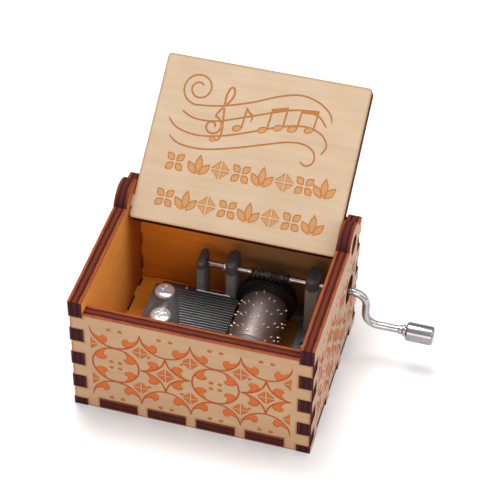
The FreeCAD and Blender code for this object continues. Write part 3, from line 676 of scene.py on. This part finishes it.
def arc_points(centre, radius, start, end, count=30, last_radius=None, squash=1.0):
    """An arc, which winds out to the last radius if there is one and is flattened by squash."""
    points = []
    for k in range(count + 1):
        share = k / count
        reach = radius + ((last_radius or radius) - radius) * share
        angle = start + (end - start) * share
        points.append((centre[0] + reach * math.cos(angle), centre[1] + squash * reach * math.sin(angle)))
    return points


def bezier(p0, p1, p2, p3, count=7):
    points = []
    for k in range(count):
        t = k / count
        points.append(tuple((1 - t) ** 3 * a + 3 * (1 - t) ** 2 * t * b + 3 * (1 - t) * t * t * c + t ** 3 * d
                            for a, b, c, d in zip(p0, p1, p2, p3)))
    return points


LEAF = (bezier((0, 0), (1.5, -0.1), (3.0, -0.15), (4.2, 0.15))
        + bezier((4.2, 0.15), (5.0, 0.6), (5.0, 1.9), (4.1, 2.35))
        + bezier((4.1, 2.35), (3.3, 2.75), (2.3, 2.7), (1.55, 1.95))
        + bezier((1.55, 1.95), (1.85, 2.1), (2.2, 1.95), (2.15, 1.5))
        + bezier((2.15, 1.5), (2.0, 1.0), (1.2, 0.75), (0, 0)))


def leaf(centre, radius, angle, turn, size):
    """A plump curled leaf that grows along a circle's inside from an angle, turning +1 or -1 round it."""
    placed = []
    for along, inward in LEAF:
        away = radius - size * inward
        bearing = angle + turn * size * along / radius
        placed.append((centre[0] + away * math.cos(bearing), centre[1] + away * math.sin(bearing)))
    return placed, 0.2


def dot(x, y, radius=0.64):
    return arc_points((x, y), radius, 0, TURN, 12, squash=0.8)[:-1], 0.2


def quartered(x, y, size, gap=0.2):
    """A lozenge cut into four triangles by a cross; size is half its diagonal."""
    outlines = []
    for sx, sy in ((1, 1), (-1, 1), (-1, -1), (1, -1)):
        outlines.append(([(x + sx * gap, y + sy * gap), (x + sx * (size - gap), y + sy * gap),
                          (x + sx * gap, y + sy * (size - gap))], 0.16))
    return outlines


PITCH = 13.3                 # from one ring or star of the trellis to the next
REACH = PITCH / 2 - 0.1      # radius of its half rounds
RISE = 6.45                  # from its middle row to the half rounds' lowest points
LINE_WIDTH = 0.5


def trellis(columns, middle=0.0):
    """Round trellis: rings and pointed stars in turn, between rows of half rounds, with leaves and dots."""
    outlines = []
    for column in range(columns):
        x = (column - (columns - 1) / 2) * PITCH
        for side in (1, -1):
            centre = (x, middle + side * 2 * RISE)
            start = -math.pi if side > 0 else 0.0
            outlines.append(ribbon(arc_points(centre, REACH, start, start + math.pi), LINE_WIDTH, 0.12))
            for turn in (1, -1):
                outlines.append(leaf(centre, REACH, -math.pi / 2 * side + turn * 1.25, -turn, 1.12))
                outlines.append(dot(x + turn * 1.5, centre[1] - side * 0.2))
        outlines += star_ornament(x, middle) if column % 2 else ring_ornament(x, middle)
    for gap in range(columns + 1):
        x = (gap - columns / 2) * PITCH
        for side in (1, -1):
            shapes = quartered(x, middle + side * RISE * 1.02, 2.35)
            if 0 < gap < columns:
                shapes.append(dot(x + (1 if gap % 2 else -1) * 2.3, middle + side * RISE * 0.86, 0.5))
            else:
                inward = 1 if x < 0 else -1
                shapes = [shape for shape in shapes if (shape[0][0][0] - x) * inward > 0]
            outlines += shapes
    return outlines


def ring_ornament(x, y):
    radius = RISE - LINE_WIDTH / 2
    outlines = [ribbon(arc_points((x, y), radius, start, start + math.pi), LINE_WIDTH)
                for start in (0, math.pi)]
    for k in range(4):
        turn = 1 if k % 2 else -1
        outlines.append(leaf((x, y), radius, TURN * (k + 0.5) / 4 - turn * 0.45, turn, 1.18))
    return outlines + [dot(x + dx * 1.15, y + dy * 1.05) for dx in (-1, 1) for dy in (-1, 1)]


def star_ornament(x, y):
    """A four-pointed star of hollow quarter rounds, with a leaf on each and a lozenge inside."""
    outlines = quartered(x, y, 2.6)
    for sx in (-1, 1):
        for sy in (-1, 1):
            centre = (x + sx * PITCH / 2, y + sy * RISE)
            start = math.atan2(-sy, 0)
            sweep = (math.atan2(0, -sx) - start + math.pi) % TURN - math.pi
            quarter = arc_points(centre, REACH, start, start + sweep, 16, squash=(RISE - 0.1) / REACH)
            outlines.append(ribbon(quarter, LINE_WIDTH, 0.12))
            turn = 1 if sweep > 0 else -1
            outlines.append(leaf(centre, RISE - 0.15, start + turn * 0.2, turn, 1.12))
    return outlines


# ---- lid drawing: wavy staff and ornament rows

def smooth(points, count=5):
    """A curve through the points."""
    result = []
    for k in range(len(points) - 1):
        a, b = points[max(k - 1, 0)], points[k]
        c, d = points[k + 1], points[min(k + 2, len(points) - 1)]
        for step in range(count):
            t = step / count
            result.append(tuple(0.5 * (2 * q + (r - p) * t + (2 * p - 5 * q + 4 * r - s) * t * t
                                       + (3 * q - p - 3 * r + s) * t ** 3) for p, q, r, s in zip(a, b, c, d)))
    return result + [points[-1]]


def staff_lines():
    """Four staff lines that swell to the right and hook over; the top one unrolls from a coil."""
    coil = arc_points((-17.5, 33.4), 1.2, -3.8 * math.pi, -0.5 * math.pi, 60, 4.7)
    lines = [smooth(points) for points in (
        [coil[-1], (-13.2, 29.2), (-8.5, 30.2), (-2.0, 32.4), (4.0, 35.0), (9.5, 36.4), (14.6, 35.5),
         (18.4, 32.9), (19.5, 30.2)],
        [(-20.8, 26.6), (-17.0, 25.0), (-11.0, 25.3), (-3.0, 28.0), (4.0, 30.6), (10.5, 32.4), (15.6, 31.6),
         (18.3, 29.0)],
        [(-24.0, 24.2), (-21.0, 21.6), (-15.0, 20.6), (-8.0, 21.8), (0.0, 24.6), (7.0, 27.2), (13.0, 28.2),
         (17.5, 26.8), (19.4, 24.0), (18.3, 21.4)],
        [(-22.8, 19.4), (-19.5, 17.4), (-13.0, 17.1), (-5.0, 18.9), (3.0, 21.4), (9.0, 23.2), (13.5, 23.4),
         (16.4, 21.8), (16.9, 19.2), (15.2, 17.8), (13.2, 18.7)],
    )]
    lines[0] = coil[:-1] + lines[0]
    return [ribbon(line, 0.48, 0.04) for line in lines]


def note(u, v, stem, flag=False):
    """A tilted oval head, its stem and, for a single note, a curved flag."""
    tilt, long, short = 0.4, 1.35, 0.9
    head = [(u + long * math.cos(a) * math.cos(tilt) - short * math.sin(a) * math.sin(tilt),
             v + long * math.cos(a) * math.sin(tilt) + short * math.sin(a) * math.cos(tilt))
            for a in (TURN * k / 20 for k in range(20))]
    top = (u + 1.6, v + stem)
    outlines = [(head, 0.3), ribbon([(u + 1.2, v + 0.3), top], 0.5)]
    if flag:
        outlines.append(ribbon([(top[0] + x, top[1] - y) for x, y in
                                ((0, 0), (0.5, 0.9), (1.4, 1.6), (1.9, 2.6), (1.6, 3.8))], 0.7, 0.5))
    return outlines


def beamed(u, v, gap, stem, rise):
    """Two notes, the second one further along and higher, under a beam."""
    beam = ribbon([(u + 1.4, v + stem), (u + gap + 1.8, v + rise + stem)], 1.1)
    return note(u, v, stem) + note(u + gap, v + rise, stem) + [beam]


def swirl_clef(u, v):
    """A simple clef-like swirl: an open coil on a long curved stem that ends in a ball."""
    coil = arc_points((u, v), 0.6, -0.4, 2.6 * math.pi - 0.4, 60, 2.8)
    stem = [(coil[-1][0] + x, coil[-1][1] + y) for x, y in
            ((0.4, 1.0), (1.4, 2.6), (2.9, 4.6), (3.7, 6.6), (3.3, 8.4), (2.3, 8.2), (1.7, 6.0), (1.8, 3.0),
             (2.3, -0.6), (2.6, -4.0), (2.2, -6.0), (1.0, -6.6))]
    end = stem[-1]
    return [ribbon(coil + smooth(stem), 0.55, 0.05), dot(end[0] - 0.4, end[1] + 0.3, 0.95)]


def petal(u, v, length, width, angle, start=0.35):
    """A pointed petal that leaves a point at an angle."""
    side = [(start + (length - start) * k / 10, width / 2 * math.sin(math.pi * k / 10)) for k in range(11)]
    shape = side + [(along, -off) for along, off in side[-2:0:-1]]
    cos, sin = math.cos(angle), math.sin(angle)
    return [(u + along * cos - off * sin, v + along * sin + off * cos) for along, off in shape], 0.3


def ornament_row(v, places):
    """A row of bold motifs: four-petal flowers, sprigs of three leaves and quartered lozenges in turn."""
    outlines = []
    for k, u in enumerate(places):
        if k % 3 == 0:
            outlines += [petal(u, v, 3.3, 2.1, TURN * (turn + 0.5) / 4) for turn in range(4)]
        elif k % 3 == 1:
            outlines += [petal(u, v - 3.0, length, 2.1, TURN / 4 + lean, 0.7)
                         for length, lean in ((5.0, -0.65), (6.2, 0.0), (5.0, 0.65))]
        else:
            outlines += quartered(u, v, 2.8, 0.22)
    return outlines


# ---- build the sheets

def moved(outlines, place):
    """Outlines drawn about a point, moved to the place of that point on a sheet."""
    return [([(x + place.x, y + place.y) for x, y in outline], hollow) for outline, hollow in outlines]


def engraved(outlines):
    """Strokes for cut_face: a dark outline, and a lighter filling where a shape is wide enough."""
    strokes = []
    for outline, hollow in outlines:
        corners = np.array(outline)
        following = np.roll(corners, -1, axis=0)
        if np.sum(corners[:, 0] * following[:, 1] - corners[:, 1] * following[:, 0]) < 0:
            outline = outline[::-1]
        strokes.append((outline, LINE_WALL))
        if hollow:
            strokes.append((shrunk(outline, hollow), LINE))
    return strokes


def scorch(sheet, low, high):
    """A charred mark on a sheet, as a box between two points of the frame."""
    a, b = sheet.local(*low), sheet.local(*high)
    (x0, x1), (y0, y1) = sorted((a.x, b.x)), sorted((a.y, b.y))
    return [(x0, y0 + 0.2), (x0 + 0.1, y0), (x1 - 0.15, y0 + 0.1), (x1, y0 + 0.3),
            (x1, y1 - 0.1), (x1 - 0.2, y1), (x0 + 0.15, y1 - 0.1), (x0, y1 - 0.3)], CHAR


SIDE_TOP = 38.0              # height of the side walls beside their ears
CRANK_HOLE = (32.0, 14.3, 21.9)
HOLE_MARGIN = 4.3            # the pattern keeps this far from the middle of the crank's hole


def build_walls():
    walls = (("front_wall", X, 17.9, 4, "case_face", "case_inside"),
             ("back_wall", -X, 17.9, 4, "case_face", "back_inside"),
             ("left_wall", -Y, 18.6, 3, "end_face", "case_inside"),
             ("right_wall", Y, 18.6, 3, "end_face", "case_inside"))
    for node, along, middle, columns, face, inside_face in walls:
        sheet = Sheet(node, along, Z)
        pattern = moved(trellis(columns), sheet.local(*sheet.matrix.translation.xy, middle))
        top, marks = max(y for _, y in sheet.loops[0]), []
        if node == "right_wall":
            hole = sheet.local(*CRANK_HOLE)
            pattern = [shape for shape in pattern
                       if min(math.hypot(x - hole.x, y - hole.y) for x, y in shape[0]) >= HOLE_MARGIN]
        if columns == 3:
            top = sheet.local(0, 0, SIDE_TOP).y
            x = 28.3 if node == "right_wall" else -28.3
            marks = [scorch(sheet, (x, 21.1, low), (x, 21.66, high))
                     for low, high in ((6.4, 10.3), (15.6, 18.2), (24.0, 26.4))]
        build_sheet(sheet, "case", (face, inside_face), engraved(pattern), marks, top,
                    seed=columns + len(node))


def build_base():
    sheet = Sheet("base_board", X, -Y)
    marks = [scorch(sheet, (side * 28.25, low, SHEET), (side * 27.7, high, SHEET))
             for side in (-1, 1) for low, high in ((-18.0, -12.5), (-5.0, 1.5), (7.3, 13.4), (17.2, 20.6))]
    build_sheet(sheet, "case", ("case_face", "floor_inside"), back_strokes=marks, burn=0.62, seed=3)


LID_LEAN = math.radians(35.2)
HINGE = (0, 16.6, 35.9)


def build_lid():
    sheet = Sheet("lid_panel", X, Vector((0, math.cos(LID_LEAN), math.sin(LID_LEAN))))
    hinge = sheet.local(*HINGE)
    drawing = staff_lines() + swirl_clef(-11.8, 23.8) + note(-5.2, 24.4, 6.0, flag=True)
    drawing += beamed(1.6, 25.2, 4.0, 5.6, 1.3) + beamed(9.4, 26.9, 4.4, 5.2, 0.5)
    drawing += ornament_row(12.4, (-19.4, -12.9, -6.9, -1.3, 4.5, 10.6, 16.0, 21.4))
    drawing += ornament_row(2.3, (-19.9, -14.1, -8.3, -2.7, 3.1, 9.1, 14.7, 20.5))
    build_sheet(sheet, "lid", ("lid_face", "lid_face"), engraved(moved(drawing, hinge)),
                engraved(moved(trellis(4, 18.5), hinge)), burn=0.75, seed=5)


# ---- castings and parts whose CAD shape is kept

CAP_BORE = 1.1               # radius of the caps' bore round the shaft
PLATE_TOP, POST_FRONT = 6.2, 11.2           # the uprights stand above and behind these
LEDGE_X, LEDGE_Z = (-9.3, 0.0), (13.15, 13.6)          # where the ledge behind the comb lies, which is given a painted highlight

SOFTENED = {                 # by body: piece, CAD node, material, rounding and the lighter material of the rounds' painted edge highlight
    "case": (
        ("arbor_front_sleeve", "arbor_front_bush", "bush_brass", 0.08),
        ("arbor_rear_sleeve", "arbor_rear_bush", "bush_brass", 0.08),
        # the comb's rounded edges take the lighter steel, a painted edge highlight
        ("comb_reeds", "comb", "comb_steel", 0.07, "comb_edge_highlight"),
        ("tuning_weights", "comb_weights", "weight_lead", 0.06),
        ("damper_strips", "comb_dampers", "damper_plastic", 0.05),
    ),
    "drum": (
        ("drum_gear_moulding", "drum_gear", "black_plastic", 0.07),
        ("drum_front_disc", "drum_front_cap", "bush_brass", 0.08),
        ("drum_rear_disc", "drum_rear_cap", "bush_brass", 0.08),
        ("drum_arbor_turned", "drum_arbor", "pin_steel", 0.12),
        ("drum_resin_cast", "drum_resin_filling", "resin", 0.05),
    ),
    "crank": (
        ("shaft_circlip", "shaft_clip", "pin_steel", 0.1),
        ("knob_eyelet", "knob_collar", "nickel_rod", 0.06),
    ),
}
CAPS = (("left", 0.9), ("middle", 1.1), ("right", 1.1))      # side and how far its top rounds over


def build_softened(body):
    for name, node, *looks in SOFTENED[body]:
        softened(name, node, body, *looks)


def build_bedplate():
    """The cast frame: well rounded uprights and small rounds elsewhere, with painted light: lighter rounds as
    an edge highlight, a painted highlight on the ledge behind the comb, and lighter uprights that brighten
    towards the right.
    """
    bm = bmesh.new()
    bm.from_mesh(cad_mesh("movement_bedplate"))
    corners = []
    for edge in bm.edges:
        a, b = (vertex.co for vertex in edge.verts)
        upright = abs(a.x - b.x) + abs(a.y - b.y) < 0.01 and abs(a.z - b.z) > 0.3
        if upright and min(a.z, b.z) > PLATE_TOP and a.y > POST_FRONT - 0.2:
            corners.append(edge)
    bmesh.ops.bevel(bm, geom=corners, offset=0.7, segments=6, affect="EDGES", clamp_overlap=True)
    mesh = mesh_of(bm, "bedplate_casting")
    for key in ("cast_zinc", "zinc_edge_highlight", "zinc_ledge_highlight", "zinc_post_lit"):
        mesh.materials.append(MATERIALS[key])
    # the rounds take the lighter zinc, a painted edge highlight
    mesh = with_modifiers(mesh, rounding(0.2, 3, 35, 1))
    for polygon in mesh.polygons:
        x, y, z = polygon.center
        on_ledge = LEDGE_X[0] < x < LEDGE_X[1] and LEDGE_Z[0] < z < LEDGE_Z[1]
        # the ledge's faces get the painted highlight
        if on_ledge and y < POST_FRONT + 0.05:
            polygon.material_index = 2
        # the uprights get the lighter zinc with painted light towards the right
        elif z > 8.0 and y > POST_FRONT - 0.05 and polygon.material_index == 0:
            polygon.material_index = 3
    show("bedplate_casting", mesh, "case", "movement_bedplate", [])


def cap_level(bm, centre, half_x, half_y, z, count=12):
    """A level ring with round ends to the front and back."""
    ring = []
    for end in (1, -1):
        for k in range(count + 1):
            angle = math.pi * k / count
            ring.append(bm.verts.new((centre.x + end * half_x * math.cos(angle),
                                      centre.y + end * (half_y - half_x + half_x * math.sin(angle)), z)))
    return ring


def build_cap(side, round_over):
    """A keeper over the shaft: a bar with round ends, a domed top and half of the shaft's bore."""
    name, node = side + "_cap_casting", side + "_bearing_cap"
    low, high = node_box(node)
    centre, half = (low + high) / 2, (high - low) / 2
    levels = [(0.12, 0.12, SHAFT.z), (0.0, 0.0, SHAFT.z + 0.12)]
    for angle in QUARTER:
        inset = 1 - math.cos(angle)
        levels.append((0.55 * inset, 1.5 * inset, high.z - round_over * (1 - math.sin(angle))))
    bm = bmesh.new()
    skin(bm, [cap_level(bm, centre, half.x - narrow, half.y - short, z) for narrow, short, z in levels])
    cutter = bmesh.new()
    reach = half.x + 1
    lathe(cutter, SHAFT + X * (centre.x - reach), X,
          [(0, 0), (0, CAP_BORE), (2 * reach, CAP_BORE), (2 * reach, 0)], 48)
    mesh = carved(mesh_of(bm, name), mesh_of(cutter, "bore"), rounding(0.06, 2, 50))
    show(name, mesh, "case", node, ["zinc_cap"])


# ---- screws and dowel

SCREW_PITCH = 0.4

SCREWS = (                   # piece, CAD node, material, places, and the sizes that screw takes
    ("comb_pan_screws", "comb_screws", "screw_chrome", ((-17.2, 7.6), (-15.6, -1.4)),
     (13.2, 14.7, 7.3, 2.8, 1.25)),
    ("bedplate_pan_screws", "bedplate_screws", "screw_zinc", ((-17.5, 14.6), (-17.5, -7.7), (22.1, 6.0)),
     (1.6, 0.1, 5.8, 2.2, 1.1)),
)


def cross_cutter(x, y, top, depth, reach, sign):
    """A tapered four-armed cutter for a cross recess, from above (+1) or below (-1)."""
    bm = bmesh.new()
    for arm in range(2):
        rings = []
        for z, share in ((top + 0.3 * sign, 1.15), (top - depth * sign, 0.55)):
            long, thin = reach * share, 0.4 * (0.6 + 0.4 * share)
            dx, dy = (long, thin) if arm == 0 else (thin, long)
            rings.append([bm.verts.new((x + sx * dx, y + sy * dy, z)) for sx, sy in
                          ((-1, -1), (1, -1), (1, 1), (-1, 1))])
        skin(bm, rings)
    return mesh_of(bm, "cross")


def screw(x, y, under, top, shank_end, head, shank):
    """A pan-head screw: heights of the head's underside and top and the shank's end, and both radii."""
    sign = 1 if top > under else -1
    height, length = abs(top - under), abs(shank_end - under)
    profile = [(-length, 0), (-length + 0.1, shank * 0.7)]
    for k in range(int(length / SCREW_PITCH)):
        start = -length + 0.15 + k * SCREW_PITCH
        profile += [(start, shank * 0.82), (start + SCREW_PITCH / 2, shank * 0.995)]
    profile += softened_profile([(0.0, shank), (0.0, head), (height * 0.42, head)], 0.15)
    profile += [(height * (0.42 + 0.58 * math.sin(angle)), head * math.cos(angle) ** 0.55)
                for angle in QUARTER[1:-1]]
    profile.append((height, 0))
    bm = bmesh.new()
    lathe(bm, Vector((x, y, under)), Z * sign, profile, 56)
    cutter = cross_cutter(x, y, top, 0.9, head * 0.62, sign)
    return carved(mesh_of(bm, "screw"), cutter, rounding(0.05, 2, 40), use_self=True)


def build_fasteners():
    for name, node, slot, places, sizes in SCREWS:
        bm = bmesh.new()
        for x, y in places:
            bm.from_mesh(screw(x, y, *sizes))
        show(name, mesh_of(bm, name, recalculate=False), "case", node, [slot])
    dowel = softened_profile([(0, 0), (0, 0.4), (7.3, 0.4), (7.3, 0)], 0.2)
    turned("comb_dowel", "comb_locating_pin", "case", "pin_steel", Vector((-12.1, 11.05, 6.1)), Z, dowel, 24)


# ---- drum

SHELL_THICK = 0.5
PINS, TEETH = 84, 18
LAST_TOOTH, TOOTH_PITCH = 10.6, 0.93        # the comb's rear edge, and from tooth to tooth
PIN_RADIUS, PIN_REACH = 0.19, 6.95          # a pin's own radius, and its tip's distance from the axis


def build_drum():
    inner = DRUM_RADIUS - SHELL_THICK
    front, back = DRUM_LOW.y, DRUM_HIGH.y
    shell = softened_profile([(front + 2, inner), (front, inner), (front, DRUM_RADIUS), (back, DRUM_RADIUS),
                              (back, inner), (front + 2, inner)], 0.2, 4)
    axis_point = Vector((DRUM_AXIS.x, 0, DRUM_AXIS.z))
    turned("drum_shell", "drum_barrel", "drum", "drum_steel", axis_point, Y, shell, 128)
    root = inner + 0.2
    length = PIN_REACH - root
    pin = [(0, 0), (0, PIN_RADIUS), (length - 0.12, PIN_RADIUS), (length - 0.04, 0.14), (length, 0)]
    bm = bmesh.new()
    for index in range(PINS):
        turn = TURN * index / PINS
        out = Vector((math.sin(turn), 0, math.cos(turn)))
        tooth = (5 * index + 3 * (index // 7)) % TEETH
        lathe(bm, axis_point + Y * (LAST_TOOTH - (tooth + 0.5) * TOOTH_PITCH) + out * root, out, pin, 10)
    show("drum_pin_field", mesh_of(bm, "drum_pin_field"), "drum", "drum_pins", ["pin_tip"])


# ---- crank and knob

ROD, ROD_SIDES = 1.05, 48                   # the rod's radius, and how many corners stand for its round
BEND, BEND_START, ROD_END = 3.7, 33.2, 54.3
WORM_START, WORM_END, WORM_STEPS = 5.3, 15.9, 210
WORM_PITCH, WORM_ROOT, WORM_CREST = 1.2134, 0.9, 1.45


def rod_path():
    """Centre line of the bent rod with the direction at each point: shaft, two bends and handle."""
    stations = [(SHAFT + X * x, X) for x in (16.0, BEND_START)]
    turns = [math.pi / 2 * k / 12 for k in range(13)]
    for angle in turns[1:]:
        place = Vector((BEND_START + BEND * math.sin(angle), 0, -BEND * (1 - math.cos(angle))))
        stations.append((SHAFT + place, Vector((math.cos(angle), 0, -math.sin(angle)))))
    for angle in turns:
        place = Vector((BEND_START + BEND * (2 - math.cos(angle)), 0, BEND * (1 - math.sin(angle))))
        stations.append((HANDLE + place, Vector((math.sin(angle), 0, -math.cos(angle)))))
    return stations + [(HANDLE + X * ROD_END, X)]


def worm_radius(x, bearing):
    """Radius of the right-hand thread at a place on the shaft, fading out at both ends.

    A crest stands over the gear's middle at the shaft's underside, where share is 0.5.
    """
    share = ((x - DRUM_AXIS.x) / WORM_PITCH + bearing / TURN) % 1.0
    rise = min(1.0, max(0.0, (0.28 - WORM_PITCH * abs(share - 0.5)) / 0.17))
    fade = min(1.0, max(0.0, (x - WORM_START) / 0.6), max(0.0, (WORM_END - x) / 0.6))
    return WORM_ROOT + (ROD - WORM_ROOT) * (1 - fade) + (WORM_CREST - WORM_ROOT) * rise * fade


def build_crank():
    bm = bmesh.new()
    shaft = [(-8.6, 0.75), (-8.52, 0.92), (-8.3, ROD), (0.0, ROD), (WORM_START - 0.1, ROD)]
    rings = [ring_of(bm, SHAFT + X * x, Z, Y, [radius] * ROD_SIDES) for x, radius in shaft]
    for k in range(WORM_STEPS + 1):
        x = WORM_START + (WORM_END - WORM_START) * k / WORM_STEPS
        radii = [worm_radius(x, TURN * side / ROD_SIDES) for side in range(ROD_SIDES)]
        rings.append(ring_of(bm, SHAFT + X * x, Z, Y, radii))
    for centre, along in rod_path():
        rings.append(ring_of(bm, centre, Vector((-along.z, 0, along.x)), Y, [ROD] * ROD_SIDES))
    skin(bm, rings)
    for face in bm.faces:
        face.material_index = int(WORM_START < face.calc_center_median().x < WORM_END)
    rivet = softened_profile([(0.0, 0), (0.0, 1.55), (0.5, 1.55), (0.5, 0)], 0.18)
    lathe(bm, HANDLE + X * ROD_END, X, rivet, 32)
    show("crank_bent_rod", mesh_of(bm, "crank_bent_rod"), "crank", "crank_rod",
         ["nickel_rod", "worm_thread"])


def build_knob():
    barrel = softened_profile([(0.0, 1.1), (0.0, 2.15), (0.45, 2.6), (7.05, 2.6), (7.5, 2.15), (7.5, 1.75),
                               (6.0, 1.75), (6.0, 1.1), (0.0, 1.1)], 0.1)
    turned("knob_barrel", "crank_knob", "knob", "nickel_knob", HANDLE + X * 48.2, X, barrel, 96)
    plug = softened_profile([(0.0, 0), (0.0, 1.75), (0.7, 1.75), (0.55, 0)], 0.12)
    turned("knob_plug", "knob_end_plug", "knob", "nickel_knob", HANDLE + X * 55.0, X, plug, 48)


build_walls()
build_base()
build_lid()
for row in CAPS:
    build_cap(*row)
build_bedplate()
build_softened("case")
build_fasteners()
build_softened("drum")
build_drum()
build_crank()
build_softened("crank")
build_knob()


# ---- floor, light and camera

CAMERA_YAW, CAMERA_PITCH, CAMERA_ROLL = (math.radians(a) for a in (14.77, 43.8, 0.99))
CAMERA_PLACE = Vector((95.58, -329.62, 369.67)) * MM
CAMERA_LENS = 133.4
FLOOR_REACH = 3.0
AIM = Vector((0, 0, 0.02))                  # the lights' common target
WORLD_STOPS = ((0.0, 0.28), (0.25, 0.42), (0.6, 0.75), (1.0, 1.0))


def add_camera():
    data = bpy.data.cameras.new("camera")
    data.lens = CAMERA_LENS
    data.sensor_width = 36
    data.clip_start = 0.01
    camera = in_scene("camera", data)
    pose = Matrix.Rotation(CAMERA_YAW, 4, "Z") @ Matrix.Rotation(math.pi / 2 - CAMERA_PITCH, 4, "X")
    pose = pose @ Matrix.Rotation(CAMERA_ROLL, 4, "Z")
    pose.translation = CAMERA_PLACE
    camera.matrix_world = pose
    bpy.context.scene.camera = camera


def add_floor():
    shader = Shader("floor", Specular_IOR_Level=0.0)
    shader.finish(shader.mix(shader.noise(0.01, 2.0), (0.86, 0.86, 0.86), (0.9, 0.9, 0.9)), 0.9)
    mesh = bpy.data.meshes.new("floor")
    corners = [(x * FLOOR_REACH, y * FLOOR_REACH, 0) for x, y in ((-1, -1), (1, -1), (1, 1), (-1, 1))]
    mesh.from_pydata(corners, [], [(0, 1, 2, 3)])
    mesh.materials.append(MATERIALS["floor"])
    in_scene("floor", mesh)


def add_light(name, place, size, power):
    data = bpy.data.lights.new(name, "AREA")
    data.shape = "RECTANGLE"
    data.size, data.size_y = size
    data.energy = power
    light = in_scene(name, data)
    light.location = place
    light.rotation_euler = (AIM - Vector(place)).to_track_quat("-Z", "Y").to_euler()


def add_world():
    """Even white tent: bright overhead, dimmer towards the horizon."""
    world = bpy.data.worlds.new("studio")
    world.use_nodes = True
    tree = world.node_tree
    spot, split, ramp = (tree.nodes.new("ShaderNode" + kind)
                         for kind in ("TexCoord", "SeparateXYZ", "ValToRGB"))
    fill_ramp(ramp.color_ramp, WORLD_STOPS)
    backdrop = tree.nodes["Background"].inputs
    tree.links.new(spot.outputs["Generated"], split.inputs[0])
    tree.links.new(split.outputs[2], ramp.inputs[0])
    tree.links.new(ramp.outputs[0], backdrop["Color"])
    backdrop["Strength"].default_value = 0.7
    bpy.context.scene.world = world


add_camera()
add_floor()
add_world()
add_light("top_softbox", (-0.12, 0.2, 0.75), (0.32, 0.32), 4.6)
add_light("side_softbox", (0.52, -0.04, 0.5), (1.0, 1.0), 3.6)
add_light("front_fill", (0.05, -0.85, 0.3), (0.6, 0.4), 2.4)
bpy.context.scene.view_settings.view_transform = "Standard"
